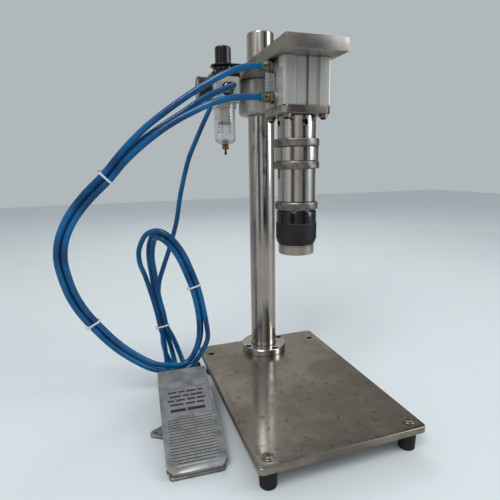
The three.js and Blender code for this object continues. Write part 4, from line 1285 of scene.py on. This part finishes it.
def add_press_sleeve():
    """A gloss black band above a knurled black grip that tapers in to the nozzle."""
    low, high = levels("press_sleeve")
    band, grip, tip = 26.7 * MM, 27.4 * MM, 24 * MM
    bore, counter = 14.2 * MM, 22.3 * MM
    step, taper, shelf = 277 * MM, 254.6 * MM, 261 * MM
    rows = [taper + 1.2 * MM + KNURL_PITCH * index for index in range(25)]
    profile = [(bore, low), (tip, low), (tip + 1.6 * MM, low + 2.4 * MM), (grip - 0.7 * MM, taper - MM)]
    profile += [(grip - 0.15 * MM, taper + 0.4 * MM)]
    profile += [(grip, height) for height in rows]
    profile += [(grip - 0.1 * MM, step - 0.3 * MM), (grip - 0.4 * MM, step), (band, step + 0.1 * MM)]
    profile += [(band, high - 1.8 * MM), (band - 0.5 * MM, high - 0.6 * MM), (band - 1.4 * MM, high)]
    profile += [(counter, high), (counter, shelf), (bore, shelf)]
    bm = turned(profile, HEAD, KNURL_COLUMNS, closed=True)
    knurled(bm, HEAD, 0.32 * MM, rows[0], rows[-1], grip - 0.2 * MM)
    for face in bm.faces:
        face.material_index = 0 if face.calc_center_median().z > step else 1
    finishes = [BLACK_GLOSS, BLACK_GRIP]
    finish_piece(bm, "press_sleeve_black", finishes, "ram", ["press_sleeve"], 60)


def add_nozzle():
    low, high = levels("nozzle")
    radius = radius_of("nozzle")
    throat, mouth = 12.6 * MM, 17 * MM
    profile = [
        (throat, low + 8 * MM), (mouth, low + 0.8 * MM), (mouth + 0.8 * MM, low), (radius - 0.8 * MM, low),
        (radius, low + 0.8 * MM), (radius, high - 1.6 * MM), (radius - 0.5 * MM, high - 1.3 * MM),
        (radius - 0.5 * MM, high), (throat, high),
    ]
    bm = turned(profile, HEAD, 112, closed=True)
    finish_piece(bm, "nozzle_polished", TURNED_STEEL, "ram", ["nozzle"])


def add_spring(name, node, body, radius, wire, turns, foot):
    """An open coil spring between its node's two levels."""
    low, high = levels(node)
    steps = 20
    route = []
    for index in range(turns * steps + 1):
        angle = math.tau * index / steps
        height = low + wire + (high - low - 2 * wire) * index / (turns * steps)
        route.append(foot + Vector((radius * math.cos(angle), radius * math.sin(angle), height)))
    coil = tube_along(route, name, wire, 2)
    return finish_piece(coil, name, WIRE_STEEL, body, [node], 60)


def add_collet_spring():
    spring = add_spring("collet_spring_wire", "collet_spring", "ram", 10.5 * MM, 1.1 * MM, 5, HEAD)
    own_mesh(spring)


add_upper_barrel()
add_lower_barrel()
for ring_node in ("upper_lock_ring", "lower_lock_ring", "head_lock_ring"):
    add_knurled_ring(ring_node)
add_stroke_adjuster()
add_ram()
add_press_sleeve()
add_nozzle()
add_collet_spring()


# ---- filter regulator ----
PORT_RING = [(5.4, -0.2), (9.6, -0.2), (9.6, 0.2), (9.2, 0.45), (8.4, 0.45), (8.4, 0.2), (5.4, 0.2)]


def square_outline(half, corner):
    low = (UNIT.x - half, UNIT.y - half)
    return rounded_rectangle(low, (UNIT.x + half, UNIT.y + half), corner)


def add_regulator_body():
    """The square casting with its two ports and a few upright grooves on its front and back."""
    low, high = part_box("regulator_body")
    half = (high.x - low.x) / 2
    bm = softened(prism(square_outline(half, 4 * MM), low.z, high.z), 1.1 * MM)
    port = middle("fitting_outlet").z
    cutters = [laid(bar(PORT_RADIUS, -25 * MM, 25 * MM), UNIT + port * UP, (0, 1, 0))]
    cutters.append(bar(11 * MM, low.z - MM, low.z + 6 * MM, UNIT))
    deep = 1.2 * MM
    for index in range(4):
        x = UNIT.x - 16.5 * MM + 2.6 * MM * index
        for face in (-half, half):
            y = UNIT.y + face
            groove = block((x, y - deep, low.z + 4 * MM), (x + 1.1 * MM, y + deep, high.z - 9 * MM))
            cutters.append(groove)
    bm = bored(bm, *cutters)
    finish_piece(bm, "regulator_casting", GREY_PLASTIC, "arm", ["regulator_body"])
    for name, way in (("outlet", -1), ("inlet", 1)):
        ring = turned(in_mm(PORT_RING), segments=48, closed=True)
        ring = laid(ring, UNIT + Vector((0, way * half, port)), (0, way, 0))
        finish_piece(ring, f"port_ring_{name}", BLACK_PLASTIC, "arm")


def add_regulator_bonnet():
    """A square flange held by four screws, under the round neck that carries the knob."""
    low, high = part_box("regulator_bonnet")
    flange, top = 487 * MM, 496 * MM
    neck, stem = 15.5 * MM, 8 * MM
    skirt = softened(prism(square_outline((high.x - low.x) / 2, 5 * MM), low.z, flange), 1.0 * MM)
    profile = [(0, flange - MM), (18.5 * MM, flange - MM), (17.6 * MM, flange + 1.4 * MM)]
    profile += [(neck, flange + 3.6 * MM), (neck, top - MM), (neck - MM, top), (stem, top)]
    profile += [(stem, high.z), (0, high.z)]
    cap = turned(profile, UNIT, 64)
    bonnet = merged(skirt, cap)
    finish_piece(bonnet, "bonnet_moulding", BLACK_PLASTIC, "arm", ["regulator_bonnet"])
    for index, (x, y) in enumerate([(-1, -1), (1, -1), (1, 1), (-1, 1)]):
        place = UNIT + Vector((x * 16.6 * MM, y * 16.6 * MM, flange - 0.6 * MM))
        screw = moved(socket_screw(2.2 * MM, 1.4 * MM, 1.2 * MM), Matrix.Translation(place))
        finish_piece(screw, f"bonnet_screw_{index + 1}", TURNED_STEEL, "arm")


def add_regulator_knob():
    """A glossy knob with fine flutes round its side and a plain rolled top and bottom edge."""
    low, high = levels("regulator_knob")
    radius = radius_of("regulator_knob")
    flutes, steps_per_flute = 30, 6
    steps = flutes * steps_per_flute
    skirt, depth = 8.6 * MM, 0.25 * MM
    dome = arc((radius - 2.4 * MM, high - 2.4 * MM), 2.4 * MM, 0, 90, 6)
    profile = [(skirt, low), (radius - 0.5 * MM, low), (radius, low + 0.5 * MM), (radius, low + 2.6 * MM)]
    profile += [(radius, low + 3.2 * MM), (radius, high - 3.4 * MM), *dome, (0, high)]
    profile += [(0, low + 13 * MM), (skirt, low + 13 * MM)]
    bm = turned(profile, UNIT, steps, closed=True)
    for vert in bm.verts:
        offset = vert.co.xy - UNIT.xy
        place = round(math.atan2(offset.y, offset.x) / math.tau * steps) % steps_per_flute
        fluted = low + 3 * MM < vert.co.z < high - 3 * MM
        if place == 0 and fluted and offset.length > radius - 0.1 * MM:
            vert.co.x, vert.co.y = UNIT.xy + offset * (1 - depth / offset.length)
    finish_piece(bm, "knob_fluted", BLACK_GLOSS, "regulator_knob", ["regulator_knob"], 50)


BOWL_FLOOR = 385.3 * MM
BOWL_RADIUS = 16 * MM
PIN_HOLE = 1.95
DRAIN_NUT = [
    (PIN_HOLE, 0), (4.6, 0), (5.6, 0.8), (5.6, 3.6), (4.8, 4.2), (4.8, 5.4), (5.6, 6), (5.6, 7),
    (PIN_HOLE, 7),
]
DRAIN_SEAT = [(PIN_HOLE, 1.7), (5.6, 1.7), (5.6, 3.4), (4, 4.2), (4, 7.6), (3, 8.2), (PIN_HOLE, 8.2)]


def add_filter_bowl():
    """A clear cup with a thicker collar at its mouth."""
    high = levels("filter_bowl")[1]
    radius, floor = BOWL_RADIUS, BOWL_FLOOR
    wall = 2 * MM
    outside = [(1.9 * MM, floor - 0.6 * MM), (7 * MM, floor), (12.5 * MM, floor + 2 * MM)]
    outside += [(15 * MM, floor + 5 * MM), (radius, floor + 9 * MM), (radius, high - 7 * MM)]
    outside += [(radius + 2.6 * MM, high - 6.4 * MM), (radius + 2.6 * MM, high - 0.6 * MM)]
    outside += [(radius + 2 * MM, high)]
    inside = [(radius - wall, high), (radius - wall, floor + 9.6 * MM), (13 * MM, floor + 6 * MM)]
    inside += [(11 * MM, floor + 3.8 * MM), (6.4 * MM, floor + 2 * MM), (1.9 * MM, floor + 1.6 * MM)]
    bm = turned(outside + inside, UNIT, 80, closed=True)
    finish_piece(bm, "filter_bowl_clear", CLEAR_BOWL, "arm", ["filter_bowl"], 40)


def add_drain():
    """The drain's brass nut and black seat under the bowl, and the pin that is pushed to open it."""
    nut = turned(in_mm(DRAIN_NUT), UNIT + levels("filter_bowl")[0] * UP, 6, closed=True)
    finish_piece(nut, "drain_nut", BRASS, "arm", sharp=25)
    seat = turned(in_mm(DRAIN_SEAT), UNIT + BOWL_FLOOR * UP, 32, closed=True)
    finish_piece(seat, "drain_seat", BLACK_PLASTIC, "arm")
    low, high = levels("drain_pin")
    thin, thick = 1.5 * MM, 1.9 * MM
    profile = [(0, low), (thin, low), (thick, low + 0.4 * MM), (thick, low + 4 * MM)]
    profile += [(thin, low + 4.6 * MM), (thin, high), (0, high)]
    pin = turned(profile, UNIT)
    finish_piece(pin, "drain_pin_turned", BLACK_OXIDE, "drain_pin", ["drain_pin"])


def add_filter_element():
    """The sintered tube on its black baffle."""
    low, high = levels("filter_element")
    bore, tube_low = 2.5 * MM, low + 3.2 * MM
    profile = [(bore, tube_low), (7.6 * MM, tube_low), (8 * MM, tube_low + 0.4 * MM), (8 * MM, high)]
    tube = turned([*profile, (bore, high)], UNIT, 56, closed=True)
    finish_piece(tube, "filter_sintered", SINTERED, "arm", ["filter_element"])
    top = low + 2.9 * MM
    profile = [(bore, low), (10 * MM, low), (10.5 * MM, low + 0.5 * MM), (10.5 * MM, top - 0.5 * MM)]
    disc = turned([*profile, (10 * MM, top), (bore, top)], UNIT, 56, closed=True)
    finish_piece(disc, "filter_baffle", BLACK_PLASTIC, "arm")


def add_bowl_scale():
    """Plain level ticks printed on the bowl, in two columns."""
    radius = BOWL_RADIUS + 0.06 * MM
    marks = []
    for degrees, rows in ((-140, 8), (-122, 5), (-78, 7)):
        for row in range(rows):
            wide = (2.2 if row % 2 else 3.4) * MM
            height = (402 + 3.6 * row) * MM
            mark = block((0, -wide / 2, height), (0.08 * MM, wide / 2, height + 1.1 * MM))
            turn = Matrix.Rotation(math.radians(degrees), 4, "Z")
            marks.append(moved(mark, Matrix.Translation(UNIT) @ turn @ Matrix.Translation((radius, 0, 0))))
    finish_piece(merged(*marks), "bowl_scale", PRINT_BLACK, "arm")


NUMBER_TURN = Matrix.Rotation(-math.pi / 2, 4, "Z")


def dial_marks(start):
    """Long and short ticks and six numbers over three quarters of a turn, facing along +Z."""
    marks = []
    for index in range(21):
        long_tick = index % 2 == 0
        inner = (10.6 if long_tick else 11.6) * MM
        width = (0.35 if long_tick else 0.2) * MM
        tick = block((inner, -width / 2, 0), (13.2 * MM, width / 2, 0.08 * MM))
        marks.append(moved(tick, Matrix.Rotation(math.radians(start - 13.5 * index), 4, "Z")))
    for index in range(6):
        curve = bpy.data.curves.new("number", "FONT")
        curve.body = str(2 * index)
        curve.size = 3.4 * MM
        curve.align_x = "CENTER"
        curve.align_y = "CENTER"
        curve.extrude = 0.04 * MM
        turn = math.radians(start - 54 * index)
        place = Matrix.Translation((8 * MM * math.cos(turn), 8 * MM * math.sin(turn), 0.04 * MM))
        marks.append(moved(mesh_of(curve), place @ NUMBER_TURN))
    return marks


GAUGE_CUP = [
    (0, -5.5), (3, -5.5), (3, 0), (6.5, 0), (7, 1), (7, 2), (15, 2.6), (17, 4), (17.4, 6), (17.4, 16.4),
    (18, 16.8), (18, 19.4), (17.4, 20), (16.2, 20), (16, 19.6), (16, 16), (0.9, 16), (0.9, 18.4), (0, 18.4),
]


def add_gauge():
    """The gauge on the body's left face: stem and cup, dial, marks and lens."""
    place = Vector((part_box("regulator_body")[0].x - GAP, UNIT.y, middle("gauge_case").z))
    way = (-1, 0, 0)
    cup = turned(in_mm(GAUGE_CUP), segments=80)
    finish_piece(laid(cup, place, way), "gauge_cup", BLACK_PLASTIC, "arm", ["gauge_case"])
    dial = turned(in_mm([(1, 16.05), (15.8, 16.05), (15.8, 16.4), (1, 16.4)]), segments=64, closed=True)
    finish_piece(laid(dial, place, way), "gauge_dial", DIAL_WHITE, "arm")
    marks = moved(merged(*dial_marks(135)), Matrix.Translation((0, 0, 16.42 * MM)))
    finish_piece(laid(marks, place, way), "gauge_marks", PRINT_BLACK, "arm")
    lens = turned(in_mm([(0, 18.7), (15.9, 18.7), (15.9, 19.3), (14, 19.6), (0, 19.8)]), segments=64)
    finish_piece(laid(lens, place, way), "gauge_lens", CLEAR_LENS, "arm")


def add_bracket():
    bent = from_node("regulator_bracket", 0.35 * MM)
    finish_piece(bent, "bracket_bent", BLACK_OXIDE, "arm", ["regulator_bracket"])
    top = levels("regulator_bracket")[1]
    for index, (x, y) in enumerate([(33, 2), (37, -14)]):
        place = UNIT + Vector((x * MM, y * MM, top))
        screw = moved(socket_screw(3.6 * MM, 3.2 * MM, 1.8 * MM), Matrix.Translation(place))
        finish_piece(screw, f"bracket_screw_{index + 1}", BLACK_OXIDE, "arm")


add_regulator_body()
add_regulator_bonnet()
add_regulator_knob()
add_filter_bowl()
add_drain()
add_filter_element()
add_bowl_scale()
add_gauge()
add_bracket()


# ---- foot pedal ----
TREADLE_FRONT = 7 * MM
TREADLE_BACK = 167 * MM
TREADLE_LOW = 14.3 * MM
TREADLE_HIGH = 51 * MM
TREADLE_SLOPE = (TREADLE_HIGH - TREADLE_LOW) / (TREADLE_BACK - TREADLE_FRONT)


def on_treadle(right, ahead, above=0.0):
    """The matrix that lays a flat shape on the treadle's sloping top, its +Y towards the rear."""
    tilt = math.atan(TREADLE_SLOPE)
    top = TREADLE_LOW + (ahead - TREADLE_FRONT) * TREADLE_SLOPE
    place = PEDAL + right * PEDAL_RIGHT + ahead * PEDAL_AHEAD + top * UP
    turn = Matrix.Rotation(PEDAL_TURN, 4, "Z") @ Matrix.Rotation(tilt, 4, "X")
    return Matrix.Translation(place) @ turn @ Matrix.Translation((0, 0, above))


def add_pedal_castings():
    base = from_node("pedal_base", 0.5 * MM)
    finish_piece(base, "pedal_base_cast", CAST_METAL, "stand", ["pedal_base"])
    treadle = from_node("pedal_treadle", 0.35 * MM)
    finish_piece(treadle, "treadle_cast", CAST_METAL, "treadle", ["pedal_treadle"])
    valve = from_node("pedal_valve", 0.5 * MM)
    finish_piece(valve, "pedal_valve_block", ANODISED, "stand", ["pedal_valve"])


# Each row of bars: how far up the label, how tall, and how wide each bar is, in millimetres.
LABEL_ROWS = [
    (17, 3, (12, 9, 13, 7)),
    (9.2, 3, (16, 9, 16)),
    (1.6, 3, (9, 12, 11, 12)),
    (-6.2, 3, (18, 13, 10)),
    (-16.5, 5, (20, 24)),
]


def add_pedal_label():
    """A thin plate in the treadle's recess, with plain bars where a notice would be."""
    middle_ahead = 104 * MM
    half_long, half_wide = 26 * MM, 32 * MM
    outline = rounded_rectangle((-half_wide, -half_long), (half_wide, half_long), 1.5 * MM, 3)
    plate = softened(prism(outline, 0, 0.6 * MM), 0.2 * MM, 1)
    plate = moved(plate, on_treadle(0, middle_ahead, -0.75 * MM))
    finish_piece(plate, "pedal_label", LABEL_GREY, "treadle")
    gap, thick = 2.6, 0.12
    bars = []
    for y, tall, widths in LABEL_ROWS:
        x = -(sum(widths) + gap * (len(widths) - 1)) / 2
        for wide in widths:
            low = Vector((x, y - tall / 2, 0)) * MM
            high = Vector((x + wide, y + tall / 2, thick)) * MM
            bars.append(softened(block(low, high), 0.04 * MM, 1))
            x += wide + gap
    bars = moved(merged(*bars), on_treadle(0, middle_ahead, -0.15 * MM))
    finish_piece(bars, "pedal_label_bars", PRINT_BLACK, "treadle")


def add_pedal_spring():
    foot = axis_of("valve_plunger")
    spring = add_spring("pedal_spring_wire", "pedal_spring", "stand", 7.6 * MM, 0.8 * MM, 4, foot)
    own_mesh(spring)


add_pedal_castings()
add_pedal_label()
add_pedal_spring()

KEPT_NODES = {
    "rod_guide": ANODISED,
    "piston": ANODISED,
    "piston_rod": TURNED_STEEL,
    "collet": TURNED_STEEL,
    "gauge_needle": PRINT_BLACK,
    "pedal_hinge_pin": TURNED_STEEL,
    "valve_plunger": BLACK_PLASTIC,
}
for node, material in KEPT_NODES.items():
    frame["nodes"][node].data.materials.clear()
    frame["nodes"][node].data.materials.append(material)


# ---- studio ----
def floor_material():
    """Pale to look at; polished metal sees it as a darker workshop floor."""
    material, tree, shader, place = new_material("pale_floor")
    cloud = patches_of(tree, place, 2.0, 0.3, 0.7)
    pale = mix_colour(tree, cloud, (0.74, 0.79, 0.81), (0.72, 0.775, 0.795))
    seen_in_gloss = add_node(tree, "ShaderNodeLightPath").outputs["Is Glossy Ray"]
    tree.links.new(mix_colour(tree, seen_in_gloss, pale, (0.36, 0.33, 0.30)), shader.inputs["Base Color"])
    shader.inputs["Roughness"].default_value = 0.6
    return material


def add_floor():
    bm = bmesh.new()
    bmesh.ops.create_grid(bm, x_segments=1, y_segments=1, size=4)
    new_piece(bm, "floor", floor_material())


def add_softbox(name, place, aim, size, power, glossy=True):
    data = bpy.data.lights.new(name, "AREA")
    data.shape = "RECTANGLE"
    data.size, data.size_y = size
    data.energy = power
    light = bpy.data.objects.new(name, data)
    light.visible_glossy = glossy
    light.location = place
    light.rotation_euler = (Vector(aim) - Vector(place)).to_track_quat("-Z", "Y").to_euler()
    bpy.context.scene.collection.objects.link(light)


# From behind the machine round by its left, its front and its right.
ROOM_SHADES = [
    (0.62, 0.57, 0.50), (0.50, 0.46, 0.41), (0.40, 0.37, 0.34), (0.30, 0.27, 0.25), (0.52, 0.48, 0.44),
    (0.78, 0.75, 0.71), (0.10, 0.08, 0.065), (0.62, 0.60, 0.58), (0.42, 0.36, 0.31), (0.035, 0.033, 0.035),
    (0.40, 0.40, 0.42), (0.95, 0.95, 0.95), (0.30, 0.30, 0.32), (0.12, 0.10, 0.09), (0.40, 0.36, 0.32),
    (0.58, 0.53, 0.47),
]


def add_card(name, degrees, shade):
    """One panel of the room that only polished metal sees, a sixteenth of the way round."""
    distance, height = 1.9, 2.4
    half = 1.02 * distance * math.tan(math.pi / len(ROOM_SHADES))
    turn = Matrix.Rotation(math.radians(degrees), 4, "Z")
    panel = moved(block((-half, 0, 0), (half, 0.01, height)), turn @ Matrix.Translation((0, distance, MM)))
    card = new_piece(panel, name, card_material(name, shade))
    card.visible_camera = False
    card.visible_diffuse = False
    card.visible_shadow = False
    card.visible_transmission = False


def card_material(name, shade):
    material, tree, shader, place = new_material(name + "_cloth")
    weave = use_group(tree, STREAKS, {"Vector": place, "Scale": 30.0})
    cloth = mix_colour(tree, weave, shade, tuple(value * 0.7 for value in shade))
    tree.links.new(cloth, shader.inputs["Base Color"])
    shader.inputs["Roughness"].default_value = 0.9
    return material


def add_studio():
    bpy.context.scene.view_settings.view_transform = "Standard"
    world = bpy.data.worlds.new("studio")
    world.use_nodes = True
    background = world.node_tree.nodes["Background"]
    background.inputs["Color"].default_value = (0.80, 0.87, 0.90, 1)
    background.inputs["Strength"].default_value = 0.55
    bpy.context.scene.world = world
    add_floor()
    add_softbox("key", (-1.0, -1.1, 2.1), (0, 0, 0.25), (1.0, 1.2), 26)
    add_softbox("fill", (1.45, -0.8, 1.0), (0, 0, 0.25), (0.5, 1.4), 9)
    add_softbox("back", (0.5, 1.6, 1.6), (0, 0, 0.3), (1.2, 0.8), 9, glossy=False)
    for index, shade in enumerate(ROOM_SHADES):
        add_card(f"room_card_{index + 1}", 360 * index / len(ROOM_SHADES), shade)


add_studio()
